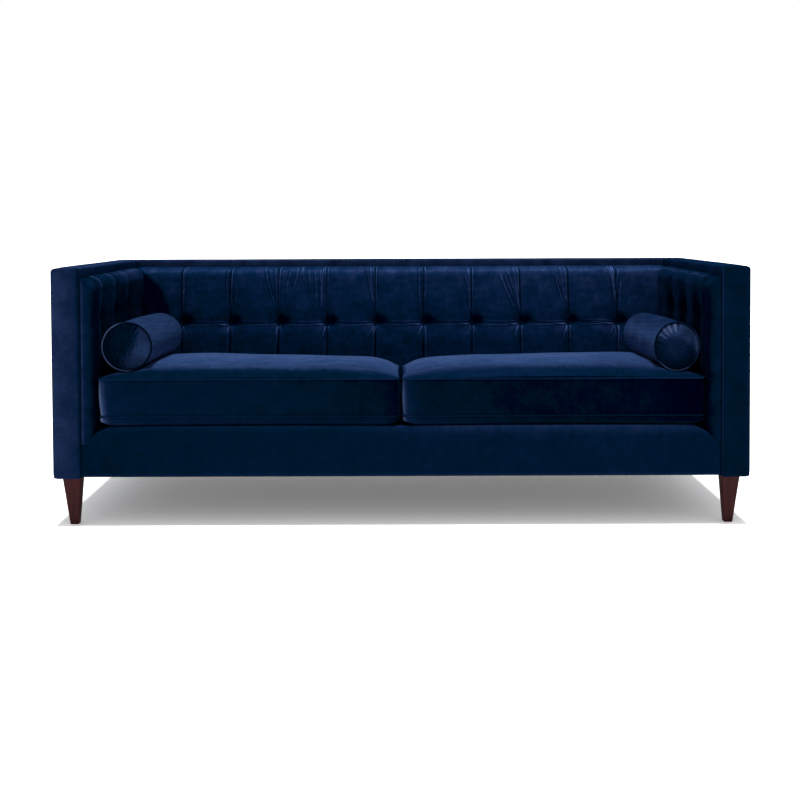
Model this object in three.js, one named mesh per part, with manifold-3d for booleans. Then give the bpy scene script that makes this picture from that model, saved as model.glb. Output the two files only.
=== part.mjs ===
// Tuxedo sofa with two loose box cushions, two loose bolsters, biscuit-tufted pads and tapered legs.
// Units are millimetres. +X is the viewer's right, +Y runs from the front of the sofa to its back, +Z is up.
// The origin is on the floor, under the middle of the sofa. Left and right are the viewer's, facing the front.

import * as THREE from "three";
import { mergeVertices } from "three/addons/utils/BufferGeometryUtils.js";
import { RoundedBoxGeometry } from "three/addons/geometries/RoundedBoxGeometry.js";
import Module from "manifold-3d";

const wasm = await Module();
wasm.setup();

// Driving sizes of the whole sofa
const overallWidth = 2134;
const overallDepth = 864;
const overallHeight = 787;
const legHeight = 150;

// Gap between two pieces that touch, and how far a cutting solid runs past what it cuts
const fitGap = 0.3;
const overrun = 20;

// Casing, the upholstered outside of the arms and the back
const armWidth = 88;
const backDepth = 88;
const casingWall = 6;
const casingRadius = 10;
const casingRadiusSteps = 2;
const backBandHeight = 36;

// Hardwood frame
const railHeight = 100;
const railThickness = 28;
const postDepth = 60;
const topRailHeight = 30;
const slatWidth = 70;
const slatThickness = 20;
const slatCount = 3;
const slatSpanShare = 0.72;
const stretcherThickness = 30;
const stretcherHeight = 64;
const seatRailThickness = 42;

// Legs, and the hanger bolt that holds each one under its post
const legTopWidth = 55;
const legFootWidth = 26;
const legFootTuck = 5;
const legChamferShare = 0.09;
const legFrontInset = 15;
const legCentreInset = 55;
const boltRadius = 5;
const boltReachIntoPost = 36;
const boltReachIntoLeg = 30;
const boltSides = 8;

// Front rail casing, with its soft lip and sloping shoulders
const railCasingInset = 8;
const railCasingWall = 12;
const lipHeight = 303;
const lipRadius = 14;
const shoulderWidth = 93;
const shoulderDrop = 51;
const shoulderCurveShare = 0.67;
const curveSteps = 5;

// Seat springs and deck
const springWireRadius = 2;
const springWireSides = 4;
const springsPerSeat = 4;
const springWaveLength = 95;
const springWaveWidth = 46;
const springStepsPerWave = 4;
const springArch = 6;
const springSeat = 14;
const tieWireShares = [0.33, 0.67];
const tieWireEndLength = 14;

// Inside back: pad, burlap and the angle it leans at
const backPadThickness = 72;
const backPadDrop = 26;
const backPadRadius = 50;
const backLean = 64;
const burlapThickness = 2;
const backColumnCount = 10;
const backEndPanelExtra = 6.6;
const backColumnShift = 5;
const backRowShares = [0.09, 0.555];

// Inside arm pads
const armPadThickness = 38;
const armPadDrop = 26;
const armPadRadius = 44;
const armPadInset = 8;
const armColumnCount = 3;
const armColumnSpacing = 176;
const armFirstColumn = 154;
const armRowShares = [0.355, 0.745];

// Tufting, as shares of the pad's thickness, and how far each valley reaches
const pleatShare = 0.26;
const crossPleatShare = 0.16;
const buttonDentShare = 0.5;
const pleatReach = 24;
const crossPleatReach = 17;
const buttonReach = 30;
const panelSampleShares = [0, 0.16, 0.5, 0.84];
const topRoundSteps = 4;

// Covered buttons
const buttonRadius = 11;
const buttonHeight = 9;
const buttonPocketGap = 0.5;
const buttonSinkShare = 0.55;
const buttonSides = 12;
const buttonDomeSteps = 2;

// Seat cushions
const cushionGap = 4;
const cushionFrontInset = 14;
const cushionBackGap = 4;
const cushionRiseToWelt = 32;
const cushionBoxing = 115;
const cushionCrown = 40;
const cushionOuterRearDrop = 12;
const cushionInnerRearDrop = 40;
const cushionCornerRadius = 22;
const cushionDrawIn = 13;
const cushionInnerDrawInShare = 0.3;
const cushionWeltRadius = 4;
const cushionCoverWall = 4;
const cushionSidePoints = 4;
const cushionCornerPoints = 3;
const crownRingShares = [0.985, 0.95, 0.87, 0.7, 0.42];
const crownPower = 4;
const crownInnerPower = 12;
const underInsetShare = 0.045;
const zipOpeningHeight = 6;
const zipOpeningShare = 0.7;

// Bolsters
const bolsterRadius = 77;
const bolsterFrontInset = 95;
const bolsterBackGap = 26;
const bolsterArmGap = 2;
const bolsterSeatRise = 1;
const bolsterRearDrop = 12;
const bolsterWeltRadius = 4;
const bolsterEndDome = 9;
const bolsterEndRound = 10;
const bolsterCoverWall = 4;
const bolsterSides = 20;
const bolsterDomeShares = [0, 0.5, 0.9];
const bolsterWaistShare = 0.985;

// Underside cloth
const dustCoverThickness = 2;
const dustCoverMargin = 6;

// Places worked out from the sizes above
const halfWidth = overallWidth / 2;
const halfDepth = overallDepth / 2;
const front = -halfDepth;
const back = halfDepth;
const innerHalfWidth = halfWidth - armWidth;
const backFace = back - backDepth;
const railTop = legHeight + railHeight;
const topRailFoot = overallHeight - casingWall - fitGap - topRailHeight;
const frameOuter = halfWidth - casingWall - fitGap;
const frameInner = innerHalfWidth + casingWall + fitGap;
const frameFront = front + casingWall + fitGap;
const frameBack = back - casingWall - fitGap;
const frontRailFace = front + railCasingInset + railCasingWall + fitGap;
const frontRailBack = frontRailFace + railThickness;
const seatFaceFoot = backFace - fitGap - backPadThickness - backLean;
const backPadTop = overallHeight - backPadDrop;
const backPadFoot = lipHeight + fitGap;
const leanSlope = backLean / (backPadTop - backPadFoot);
const armPadFace = innerHalfWidth - armPadThickness;

// Where the reclined face of the inside back is, at a height
function backPadFaceAt(z) {
  return seatFaceFoot + (z - backPadFoot) * leanSlope;
}

// Where the flat back of the inside back pad is, at a height
function backPadRearAt(z) {
  return backPadFaceAt(z) + backPadThickness;
}

const seatRailFront = backPadRearAt(railTop) - springSeat;

// Colours
const velvet = new THREE.MeshStandardMaterial({ color: 0x12244f, roughness: 0.85, metalness: 0 });
const hardwood = new THREE.MeshStandardMaterial({ color: 0xc39a66, roughness: 0.7, metalness: 0 });
const darkWood = new THREE.MeshStandardMaterial({ color: 0x3d1714, roughness: 0.35, metalness: 0 });
const springSteel = new THREE.MeshStandardMaterial({ color: 0x4a4c50, roughness: 0.4, metalness: 1 });
const foam = new THREE.MeshStandardMaterial({ color: 0xe9dfb8, roughness: 0.95, metalness: 0 });
const fibreFill = new THREE.MeshStandardMaterial({ color: 0xf2f1ec, roughness: 0.95, metalness: 0 });
const jute = new THREE.MeshStandardMaterial({ color: 0xa98c5c, roughness: 0.95, metalness: 0 });
const cambric = new THREE.MeshStandardMaterial({ color: 0x17171a, roughness: 0.9, metalness: 0 });

const sofa = new THREE.Group();

// A closed geometry as a solid that can be cut and joined
function solidOf(geometry) {
  const bare = (geometry.index ? geometry.toNonIndexed() : geometry.clone());
  const shape = new THREE.BufferGeometry().setAttribute("position", bare.getAttribute("position"));
  const merged = mergeVertices(shape, 1e-3);
  return new wasm.Manifold(new wasm.Mesh({
    numProp: 3,
    vertProperties: merged.attributes.position.array,
    triVerts: new Uint32Array(merged.index.array),
  }));
}

// A solid as a geometry that a mesh can hold
function geometryOf(solid) {
  const mesh = solid.getMesh();
  const positions = new Float32Array(mesh.numVert * 3);
  for (let i = 0; i < mesh.numVert; i++) {
    positions.set(mesh.vertProperties.subarray(i * mesh.numProp, i * mesh.numProp + 3), i * 3);
  }
  const geometry = new THREE.BufferGeometry();
  geometry.setAttribute("position", new THREE.BufferAttribute(positions, 3));
  geometry.setIndex(new THREE.BufferAttribute(mesh.triVerts, 1));
  geometry.computeVertexNormals();
  return geometry;
}

// A box between two corners
function block(x0, x1, y0, y1, z0, z1) {
  const geometry = new THREE.BoxGeometry(x1 - x0, y1 - y0, z1 - z0);
  geometry.translate((x0 + x1) / 2, (y0 + y1) / 2, (z0 + z1) / 2);
  return geometry;
}

// A box between two corners, with rounded edges
function roundedBlock(x0, x1, y0, y1, z0, z1, radius, steps) {
  const geometry = new RoundedBoxGeometry(x1 - x0, y1 - y0, z1 - z0, steps, radius);
  geometry.translate((x0 + x1) / 2, (y0 + y1) / 2, (z0 + z1) / 2);
  return geometry;
}

// A YZ outline drawn out along X
function extrudeAlongX(points, x0, x1) {
  const shape = new THREE.Shape(points.map(([y, z]) => new THREE.Vector2(y, z)));
  const geometry = new THREE.ExtrudeGeometry(shape, { depth: x1 - x0, bevelEnabled: false });
  geometry.applyMatrix4(new THREE.Matrix4().set(0, 0, 1, x0, 1, 0, 0, 0, 0, 1, 0, 0, 0, 0, 0, 1));
  return geometry;
}

// An XZ outline drawn out along Y
function extrudeAlongY(points, y0, y1) {
  const shape = new THREE.Shape(points.map(([x, z]) => new THREE.Vector2(x, z)));
  const geometry = new THREE.ExtrudeGeometry(shape, { depth: y1 - y0, bevelEnabled: false });
  geometry.applyMatrix4(new THREE.Matrix4().set(1, 0, 0, 0, 0, 0, -1, y1, 0, 1, 0, 0, 0, 0, 0, 1));
  return geometry;
}

// An XY outline drawn out along Z
function extrudeAlongZ(points, z0, z1) {
  const shape = new THREE.Shape(points.map(([x, y]) => new THREE.Vector2(x, y)));
  const geometry = new THREE.ExtrudeGeometry(shape, { depth: z1 - z0, bevelEnabled: false });
  geometry.translate(0, 0, z0);
  return geometry;
}

// A closed geometry from vertices and triangles
function geometryFrom(vertices, triangles) {
  const geometry = new THREE.BufferGeometry();
  const positions = new Float32Array(vertices.flatMap((v) => [v.x, v.y, v.z]));
  geometry.setAttribute("position", new THREE.BufferAttribute(positions, 3));
  geometry.setIndex(triangles);
  geometry.computeVertexNormals();
  return geometry;
}

// A skin over rings of points, from the lowest ring to the highest, closed by a fan at each end.
// Each ring runs anticlockwise seen from above.
function loft(rings) {
  const count = rings[0].length;
  const vertices = rings.flat();
  const triangles = [];
  const index = (ring, i) => ring * count + (i % count);
  for (let ring = 0; ring + 1 < rings.length; ring++) {
    for (let i = 0; i < count; i++) {
      triangles.push(index(ring, i), index(ring, i + 1), index(ring + 1, i + 1));
      triangles.push(index(ring, i), index(ring + 1, i + 1), index(ring + 1, i));
    }
  }
  const middleOf = (ring) => ring.reduce((sum, p) => sum.add(p), new THREE.Vector3()).divideScalar(count);
  const last = rings.length - 1;
  vertices.push(middleOf(rings[0]), middleOf(rings[last]));
  for (let i = 0; i < count; i++) {
    triangles.push(index(0, i + 1), index(0, i), vertices.length - 2);
    triangles.push(index(last, i), index(last, i + 1), vertices.length - 1);
  }
  return geometryFrom(vertices, triangles);
}

function addMesh(name, geometry, material) {
  const mesh = new THREE.Mesh(geometry, material);
  mesh.name = name;
  sofa.add(mesh);
  return mesh;
}

// A piece made for the left side, and its mirror image on the right
function addPair(name, geometry, material) {
  addMesh(name + "_left", geometry, material);
  addMesh(name + "_right", geometry, material).scale.x = -1;
}

// Outside casings, joined at the back corners along a mitre

// The wedge that the mitre leaves to the back casing, at the left corner
function mitreWedge(shift) {
  const reach = overrun;
  const slope = armWidth / backDepth;
  const points = [
    [-innerHalfWidth + reach * slope - shift, backFace - reach],
    [0, backFace - reach],
    [0, back + reach],
    [-halfWidth - reach * slope - shift, back + reach],
  ];
  return solidOf(extrudeAlongZ(points, 0, overallHeight + overrun));
}

function armCasing() {
  const outside = solidOf(roundedBlock(
    -halfWidth, -innerHalfWidth, front, back, legHeight, overallHeight, casingRadius, casingRadiusSteps));
  const hollow = solidOf(block(
    -halfWidth + casingWall, -innerHalfWidth - casingWall, front + casingWall, back - casingWall,
    legHeight - overrun, overallHeight - casingWall));
  const railOpening = solidOf(block(
    -innerHalfWidth - casingWall - fitGap, -innerHalfWidth + overrun, front + casingWall, back - casingWall,
    legHeight - overrun, railTop));
  return geometryOf(outside.subtract(hollow).subtract(railOpening).subtract(mitreWedge(0)));
}

function backCasing() {
  const outside = solidOf(roundedBlock(
    -halfWidth, halfWidth, backFace, back, legHeight, overallHeight, casingRadius, casingRadiusSteps));
  const hollow = solidOf(block(
    -halfWidth + casingWall, halfWidth - casingWall, backFace + casingWall, back - casingWall,
    legHeight - overrun, overallHeight - casingWall));
  const frontOpening = solidOf(block(
    -halfWidth - overrun, halfWidth + overrun, backFace - overrun, backFace + casingWall + fitGap,
    legHeight - overrun, overallHeight - backBandHeight));
  const keepLeft = mitreWedge(-fitGap);
  const keepRight = keepLeft.mirror([1, 0, 0]);
  const shell = outside.subtract(hollow).subtract(frontOpening);
  return geometryOf(shell.intersect(keepLeft.add(keepRight)));
}

addPair("arm_casing", armCasing(), velvet);
addMesh("back_casing", backCasing(), velvet);

// Front rail casing: the soft lip's section along the rail, under the outline of its shoulders.
// grow is added all round, for cutting a neighbour clear of it.
function railCasingSolid(grow) {
  const face = front + railCasingInset - grow;
  const rear = frontRailBack - springSeat - fitGap + grow;
  const top = lipHeight + grow;
  const section = [
    [face, legHeight - grow],
    [frontRailFace - fitGap + grow, legHeight - grow],
    [frontRailFace - fitGap + grow, railTop + fitGap - grow],
    [rear, railTop + fitGap - grow],
    [rear, top],
  ];
  for (let i = 0; i <= curveSteps; i++) {
    const angle = (i / curveSteps) * Math.PI / 2;
    section.push([
      face + lipRadius - lipRadius * Math.sin(angle),
      top - lipRadius + lipRadius * Math.cos(angle),
    ]);
  }
  const end = innerHalfWidth - fitGap + grow;
  const foot = new THREE.Vector2(end, top - shoulderDrop);
  const crest = new THREE.Vector2(end - shoulderWidth, top);
  const bend = new THREE.Vector2(end - shoulderWidth * shoulderCurveShare, top);
  const shoulder = new THREE.QuadraticBezierCurve(foot, bend, crest).getPoints(curveSteps);
  const outline = [[-end, legHeight - grow], [end, legHeight - grow]];
  shoulder.forEach((p) => outline.push([p.x, p.y]));
  shoulder.reverse().forEach((p) => outline.push([-p.x, p.y]));
  const bar = solidOf(extrudeAlongX(section.reverse(), -end, end));
  return bar.intersect(solidOf(extrudeAlongY(outline, face - overrun, rear + overrun)));
}

addMesh("front_rail_casing", geometryOf(railCasingSolid(0)), velvet);

// Hardwood frame

const legX = -halfWidth + legCentreInset;
const frontLegY = front + legFrontInset + legTopWidth / 2;
const backLegY = back - legFrontInset - legTopWidth / 2;
const postTop = topRailFoot - fitGap;

// An upright bolt, or the hole for one when grow is its clearance
function upright(radius, z0, z1, sides) {
  const geometry = new THREE.CylinderGeometry(radius, radius, z1 - z0, sides);
  geometry.rotateX(Math.PI / 2);
  geometry.translate(0, 0, (z0 + z1) / 2);
  return geometry;
}

// A corner post, bored from below for the bolt that holds its leg
function post(y0, y1, legY) {
  const body = solidOf(block(-frameOuter, -frameInner, y0, y1, legHeight, postTop));
  const bore = upright(boltRadius + fitGap, legHeight - overrun, legHeight + boltReachIntoPost + fitGap, boltSides);
  return geometryOf(body.subtract(solidOf(bore.translate(legX, legY, 0))));
}

addPair("front_post", post(frameFront, frameFront + postDepth, frontLegY), hardwood);
addPair("back_post", post(frameBack - postDepth, frameBack, backLegY), hardwood);
addPair("arm_top_rail",
  block(-frameOuter, -frameInner, frameFront, frameBack, topRailFoot, topRailFoot + topRailHeight), hardwood);
addPair("side_rail",
  block(-frameInner - railThickness, -frameInner, frameFront + postDepth + fitGap,
    frameBack - postDepth - fitGap, legHeight, railTop), hardwood);

const railEnd = frameInner - fitGap;
addMesh("front_rail", block(-railEnd, railEnd, frontRailFace, frontRailBack, legHeight, railTop), hardwood);
addMesh("seat_back_rail",
  block(-railEnd, railEnd, seatRailFront, seatRailFront + seatRailThickness, legHeight, railTop), hardwood);
addMesh("back_rail",
  block(-railEnd, railEnd, frameBack - railThickness, frameBack, legHeight, railTop), hardwood);
addMesh("back_top_rail",
  block(-railEnd, railEnd, backFace + casingWall + fitGap, frameBack, topRailFoot, topRailFoot + topRailHeight),
  hardwood);
addMesh("seat_stretcher",
  block(-stretcherThickness / 2, stretcherThickness / 2, frontRailBack + fitGap, seatRailFront - fitGap,
    legHeight, legHeight + stretcherHeight), hardwood);

// Reclined slats behind the burlap, from the seat's back rail to the top rail
const slatFoot = railTop + fitGap;
const slatSetBack = burlapThickness + fitGap * 2;
const slatSection = [
  [backPadRearAt(slatFoot) + slatSetBack, slatFoot],
  [backPadRearAt(slatFoot) + slatSetBack + slatThickness, slatFoot],
  [backPadRearAt(postTop) + slatSetBack + slatThickness, postTop],
  [backPadRearAt(postTop) + slatSetBack, postTop],
];
const slatNames = ["left", "centre", "right"];
for (let i = 0; i < slatCount; i++) {
  const middle = innerHalfWidth * slatSpanShare * (i / (slatCount - 1) * 2 - 1);
  addMesh("back_slat_" + slatNames[i],
    extrudeAlongX(slatSection, middle - slatWidth / 2, middle + slatWidth / 2), hardwood);
}

// Tapered legs, each bored for the hanger bolt that it turns onto

// A square ring with cut corners, its middle at x
function chamferedSquare(width, x, z) {
  const half = width / 2;
  const cut = width * legChamferShare;
  return [
    [half, -half + cut], [half, half - cut], [half - cut, half], [-half + cut, half],
    [-half, half - cut], [-half, -half + cut], [-half + cut, -half], [half - cut, -half],
  ].map(([right, rear]) => new THREE.Vector3(x + right, rear, z));
}

// A leg whose foot is tucked in towards the sofa's middle
function leg(footX) {
  const body = solidOf(loft([
    chamferedSquare(legFootWidth, footX, 0),
    chamferedSquare(legTopWidth, 0, legHeight - fitGap),
  ]));
  const bore = upright(boltRadius + fitGap, legHeight - boltReachIntoLeg - fitGap, legHeight + overrun, boltSides);
  return geometryOf(body.subtract(solidOf(bore)));
}

for (const [end, y] of [["front", frontLegY], ["back", backLegY]]) {
  for (const [side, x] of [["left", legX], ["right", -legX]]) {
    const bolt = upright(boltRadius, legHeight - boltReachIntoLeg, legHeight + boltReachIntoPost, boltSides);
    const tapered = leg(-Math.sign(x) * legFootTuck);
    addMesh("leg_" + end + "_" + side, tapered, darkWood).position.set(x, y, 0);
    addMesh("leg_bolt_" + end + "_" + side, bolt, springSteel).position.set(x, y, 0);
  }
}

// Seat springs: each unit is a row of zigzag wires, tied together by two cross wires
const springFront = frontRailBack - springSeat + springWireRadius;
const springBack = seatRailFront + springSeat - springWireRadius;
const springHeight = railTop + fitGap + springWireRadius;
const springCrest = springHeight + springArch + springWireRadius;

class ZigzagWire extends THREE.Curve {
  constructor(x) {
    super();
    this.x = x;
  }
  getPoint(t) {
    const waves = Math.max(1, Math.round((springBack - springFront) / springWaveLength));
    const y = springFront + (springBack - springFront) * t;
    const x = this.x + springWaveWidth / 2 * Math.sin(t * waves * Math.PI * 2);
    return new THREE.Vector3(x, y, springHeight + springArch * Math.sin(t * Math.PI));
  }
}

function wireSection() {
  const points = [];
  for (let i = 0; i < springWireSides; i++) {
    const angle = (i / springWireSides) * Math.PI * 2;
    points.push(new THREE.Vector2(springWireRadius * Math.cos(angle), springWireRadius * Math.sin(angle)));
  }
  return new THREE.Shape(points);
}

function springUnit(x0, x1) {
  const waves = Math.max(1, Math.round((springBack - springFront) / springWaveLength));
  const pitch = (x1 - x0) / springsPerSeat;
  let unit = null;
  for (let i = 0; i < springsPerSeat; i++) {
    const wire = solidOf(new THREE.ExtrudeGeometry(wireSection(), {
      steps: waves * springStepsPerWave,
      extrudePath: new ZigzagWire(x0 + pitch * (i + 0.5)),
    }));
    unit = unit ? unit.add(wire) : wire;
  }
  for (const share of tieWireShares) {
    const place = new ZigzagWire(x0).getPoint(share);
    const length = pitch * (springsPerSeat - 1) + springWaveWidth + tieWireEndLength * 2;
    const tie = new THREE.CylinderGeometry(springWireRadius, springWireRadius, length, springWireSides);
    tie.rotateZ(Math.PI / 2);
    tie.translate((x0 + x1) / 2, place.y, place.z);
    unit = unit.add(solidOf(tie));
  }
  return geometryOf(unit);
}

addPair("seat_springs", springUnit(-armPadFace, -stretcherThickness / 2), springSteel);

// Seat deck over the springs, and burlap behind the back pad
const deckTop = lipHeight;
const deckBottom = springCrest + fitGap;
addMesh("seat_deck",
  block(-armPadFace + fitGap, armPadFace - fitGap, frontRailBack - springSeat, backPadRearAt(railTop),
    deckBottom, deckTop), velvet);

const burlapFoot = backPadFoot;
const burlapTop = overallHeight - backBandHeight - fitGap;
addMesh("back_burlap", extrudeAlongX([
  [backPadRearAt(burlapFoot) + fitGap, burlapFoot],
  [backPadRearAt(burlapFoot) + fitGap + burlapThickness, burlapFoot],
  [backPadRearAt(burlapTop) + fitGap + burlapThickness, burlapTop],
  [backPadRearAt(burlapTop) + fitGap, burlapTop],
], -innerHalfWidth + fitGap, innerHalfWidth - fitGap), jute);

// The dust cover reaches under the arms, and is notched round the legs
const dustOuterX = halfWidth - casingRadius - dustCoverMargin;
const dustInnerX = -legX - legTopWidth / 2 - dustCoverMargin;
const dustOuterY = halfDepth - casingRadius - dustCoverMargin;
const dustInnerY = backLegY - legTopWidth / 2 - dustCoverMargin;
const dustFront = front + railCasingInset + railCasingWall;
const dustOutline = [
  [-dustOuterX, -dustInnerY], [-dustInnerX, -dustInnerY], [-dustInnerX, dustFront],
  [dustInnerX, dustFront], [dustInnerX, -dustInnerY], [dustOuterX, -dustInnerY],
  [dustOuterX, dustInnerY], [dustInnerX, dustInnerY], [dustInnerX, dustOuterY],
  [-dustInnerX, dustOuterY], [-dustInnerX, dustInnerY], [-dustOuterX, dustInnerY],
];
addMesh("dust_cover",
  extrudeAlongZ(dustOutline, legHeight - fitGap - dustCoverThickness, legHeight - fitGap), cambric);

// Tufted pads. A pad is a grid over its face: along it (u), up it (z) and out from its flat back (w).

// Where the pleats run, and the places between them that the grid samples
function sampleLines(start, end, pleats) {
  const stops = [start, ...pleats, end];
  const lines = [];
  for (let i = 0; i + 1 < stops.length; i++) {
    for (const share of panelSampleShares) {
      lines.push(stops[i] + (stops[i + 1] - stops[i]) * share);
    }
  }
  lines.push(end);
  return lines;
}

function nearest(value, places) {
  return Math.min(...places.map((place) => Math.abs(value - place)));
}

// How far the cloth is pulled in at a place, as a share of the pad's thickness
function tuftRelief(u, z, pad) {
  const across = nearest(u, pad.columns);
  const up = nearest(z, pad.rows);
  return Math.max(
    pleatShare * Math.exp(-across / pleatReach),
    crossPleatShare * Math.exp(-up / crossPleatReach),
    buttonDentShare * Math.exp(-Math.hypot(across, up) / buttonReach),
  );
}

// The pad's solid, each point put in its place by toPlace(u, z, w)
function tuftedPad(pad, toPlace) {
  const uLines = sampleLines(pad.start, pad.end, pad.columns);
  const roundStart = pad.top - pad.radius;
  const zPlaces = sampleLines(pad.foot, roundStart, pad.rows).map((z) => [z, 1]);
  for (let i = 1; i <= topRoundSteps; i++) {
    const angle = (i / topRoundSteps) * Math.PI / 2;
    zPlaces.push([roundStart + pad.radius * Math.sin(angle), Math.cos(angle)]);
  }
  const thin = pad.thickness * pad.edgeShare;
  const vertices = [];
  const triangles = [];
  for (const [z, fullness] of zPlaces) {
    for (const u of uLines) {
      const full = thin + (pad.thickness - thin) * fullness;
      vertices.push(toPlace(u, z, full * (1 - tuftRelief(u, z, pad))));
    }
  }
  const across = uLines.length;
  const index = (row, column) => row * across + column;
  for (let row = 0; row + 1 < zPlaces.length; row++) {
    for (let column = 0; column + 1 < across; column++) {
      triangles.push(index(row, column), index(row, column + 1), index(row + 1, column + 1));
      triangles.push(index(row, column), index(row + 1, column + 1), index(row + 1, column));
    }
  }
  const edge = [];
  const lastRow = zPlaces.length - 1;
  for (let column = 0; column + 1 < across; column++) edge.push([0, column]);
  for (let row = 0; row < lastRow; row++) edge.push([row, across - 1]);
  for (let column = across - 1; column > 0; column--) edge.push([lastRow, column]);
  for (let row = lastRow; row > 0; row--) edge.push([row, 0]);
  const rim = vertices.length;
  for (const [row, column] of edge) vertices.push(toPlace(uLines[column], zPlaces[row][0], 0));
  vertices.push(toPlace((pad.start + pad.end) / 2, (pad.foot + pad.top) / 2, 0));
  edge.forEach(([row, column], i) => {
    const j = (i + 1) % edge.length;
    const a = index(row, column);
    const b = index(edge[j][0], edge[j][1]);
    triangles.push(a, rim + i, rim + j, a, rim + j, b, rim + j, rim + i, vertices.length - 1);
  });
  return geometryFrom(vertices, triangles);
}

// How far out from the pad's back a button sits
function buttonSeat(pad) {
  return pad.thickness * (1 - buttonDentShare) - buttonHeight * buttonSinkShare;
}

// The pocket a button is pulled into, on its side with its mouth towards -Y
function buttonPocket() {
  const radius = buttonRadius + buttonPocketGap;
  const reach = backPadThickness;
  const pocket = new THREE.CylinderGeometry(radius, radius, reach, buttonSides);
  pocket.translate(0, -reach / 2, 0);
  return pocket;
}

// A covered button: a domed disc, with its back at the origin and its face towards -Y
function coveredButton() {
  const profile = [new THREE.Vector2(0, 0), new THREE.Vector2(buttonRadius, 0)];
  const rimHeight = buttonHeight / 3;
  for (let i = 0; i <= buttonDomeSteps; i++) {
    const angle = (i / buttonDomeSteps) * Math.PI / 2;
    const radius = i === buttonDomeSteps ? 0 : buttonRadius * Math.cos(angle);
    profile.push(new THREE.Vector2(radius, rimHeight + (buttonHeight - rimHeight) * Math.sin(angle)));
  }
  const geometry = new THREE.LatheGeometry(profile, buttonSides);
  geometry.rotateX(Math.PI);
  return geometry;
}

// Inside back pad and its buttons
const backColumnSpacing = (innerHalfWidth - backEndPanelExtra) * 2 / (backColumnCount + 1);
const backPad = {
  start: -innerHalfWidth + fitGap,
  end: innerHalfWidth - fitGap,
  foot: backPadFoot,
  top: backPadTop,
  radius: backPadRadius,
  thickness: backPadThickness,
  edgeShare: 0,
  columns: Array.from(
    { length: backColumnCount },
    (_, i) => (i - (backColumnCount - 1) / 2) * backColumnSpacing - backColumnShift,
  ),
  rows: backRowShares.map((share) => backPadFoot + (backPadTop - backPadFoot) * share),
};

const backPadPlace = (u, z, w) => new THREE.Vector3(u, backPadRearAt(z) - w, z);
const backPocketRow = backPad.rows[backPad.rows.length - 1];
let backPadSolid = solidOf(tuftedPad(backPad, backPadPlace));
for (const x of backPad.columns) {
  const place = backPadPlace(x, backPocketRow, buttonSeat(backPad));
  backPadSolid = backPadSolid.subtract(solidOf(buttonPocket().translate(place.x, place.y, place.z)));
}
addMesh("back_pad", geometryOf(backPadSolid), velvet);
backPad.columns.forEach((x, i) => {
  const place = backPadPlace(x, backPocketRow, buttonSeat(backPad) + fitGap);
  addMesh("back_button_" + (i + 1), coveredButton(), velvet).position.copy(place);
});

// Inside arm pads, cut clear of the back pad and of the rail casing's shoulder, and their buttons
const armPadStart = front + armPadInset;
const armPad = {
  start: armPadStart,
  end: backPadFaceAt(backPadTop) + backPadThickness / 2,
  foot: railTop + fitGap,
  top: overallHeight - armPadDrop,
  radius: armPadRadius,
  thickness: armPadThickness - fitGap,
  edgeShare: 0,
  columns: Array.from({ length: armColumnCount }, (_, i) => armPadStart + armFirstColumn + i * armColumnSpacing),
  rows: armRowShares.map((share) => railTop + (overallHeight - armPadDrop - railTop) * share),
};

const armPadPlace = (u, z, w) => new THREE.Vector3(-innerHalfWidth + fitGap + w, u, z);

// All that lies behind the back pad's reclined face
function behindBackFace() {
  const high = overallHeight + overrun;
  return solidOf(extrudeAlongX([
    [backPadFaceAt(0) - fitGap, 0],
    [back + overrun, 0],
    [back + overrun, high],
    [backPadFaceAt(high) - fitGap, high],
  ], -halfWidth, 0));
}

function armPadSolid() {
  const seat = buttonSeat(armPad);
  const turned = (u, z, w) => armPadPlace(u, z, w);
  let solid = solidOf(tuftedPad(armPad, turned));
  for (const y of armPad.columns) {
    const place = armPadPlace(y, armPad.rows[1], seat);
    const pocket = buttonPocket().rotateZ(Math.PI / 2).translate(place.x, place.y, place.z);
    solid = solid.subtract(solidOf(pocket));
  }
  return solid.subtract(behindBackFace()).subtract(railCasingSolid(fitGap));
}

addPair("arm_pad", geometryOf(armPadSolid()), velvet);
armPad.columns.forEach((y, i) => {
  const place = armPadPlace(y, armPad.rows[1], buttonSeat(armPad) + fitGap);
  addPair("arm_button_" + (i + 1), coveredButton().rotateZ(Math.PI / 2).translate(place.x, place.y, place.z), velvet);
});

// Bolsters, each along its arm on top of the seat cushion, and lower at the rear
const cushionBottom = lipHeight + fitGap;
const lowerWelt = cushionBottom + cushionRiseToWelt;
const upperWelt = lowerWelt + cushionBoxing;
const bolsterX = -armPadFace + bolsterArmGap + bolsterWeltRadius + bolsterRadius;
const bolsterZ = upperWelt + bolsterSeatRise + bolsterRadius + bolsterWeltRadius;
const bolsterFront = front + bolsterFrontInset;
const bolsterBack = backPadFaceAt(bolsterZ) - bolsterBackGap;
const bolsterHalfLength = (bolsterBack - bolsterFront) / 2;
const bolsterTilt = Math.atan2(bolsterRearDrop, bolsterHalfLength * 2);

// The bolster's outside taken in by shrink, lying along Y round the origin
function bolsterGeometry(shrink, withWelts) {
  const radius = bolsterRadius - shrink;
  const shoulder = bolsterHalfLength - bolsterEndRound;
  const ending = bolsterDomeShares.map((share) => new THREE.Vector2(
    radius * share, bolsterHalfLength - shrink - bolsterEndDome * share * share));
  if (withWelts) {
    ending.push(
      new THREE.Vector2(radius, shoulder + bolsterWeltRadius),
      new THREE.Vector2(radius + bolsterWeltRadius, shoulder),
      new THREE.Vector2(radius, shoulder - bolsterWeltRadius),
    );
  } else {
    ending.push(new THREE.Vector2(radius, shoulder - shrink));
  }
  const waist = new THREE.Vector2(radius * bolsterWaistShare, 0);
  const mirrored = ending.map((p) => new THREE.Vector2(p.x, -p.y));
  const profile = [...mirrored, waist, ...ending.reverse()];
  return new THREE.LatheGeometry(profile, bolsterSides);
}

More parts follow.
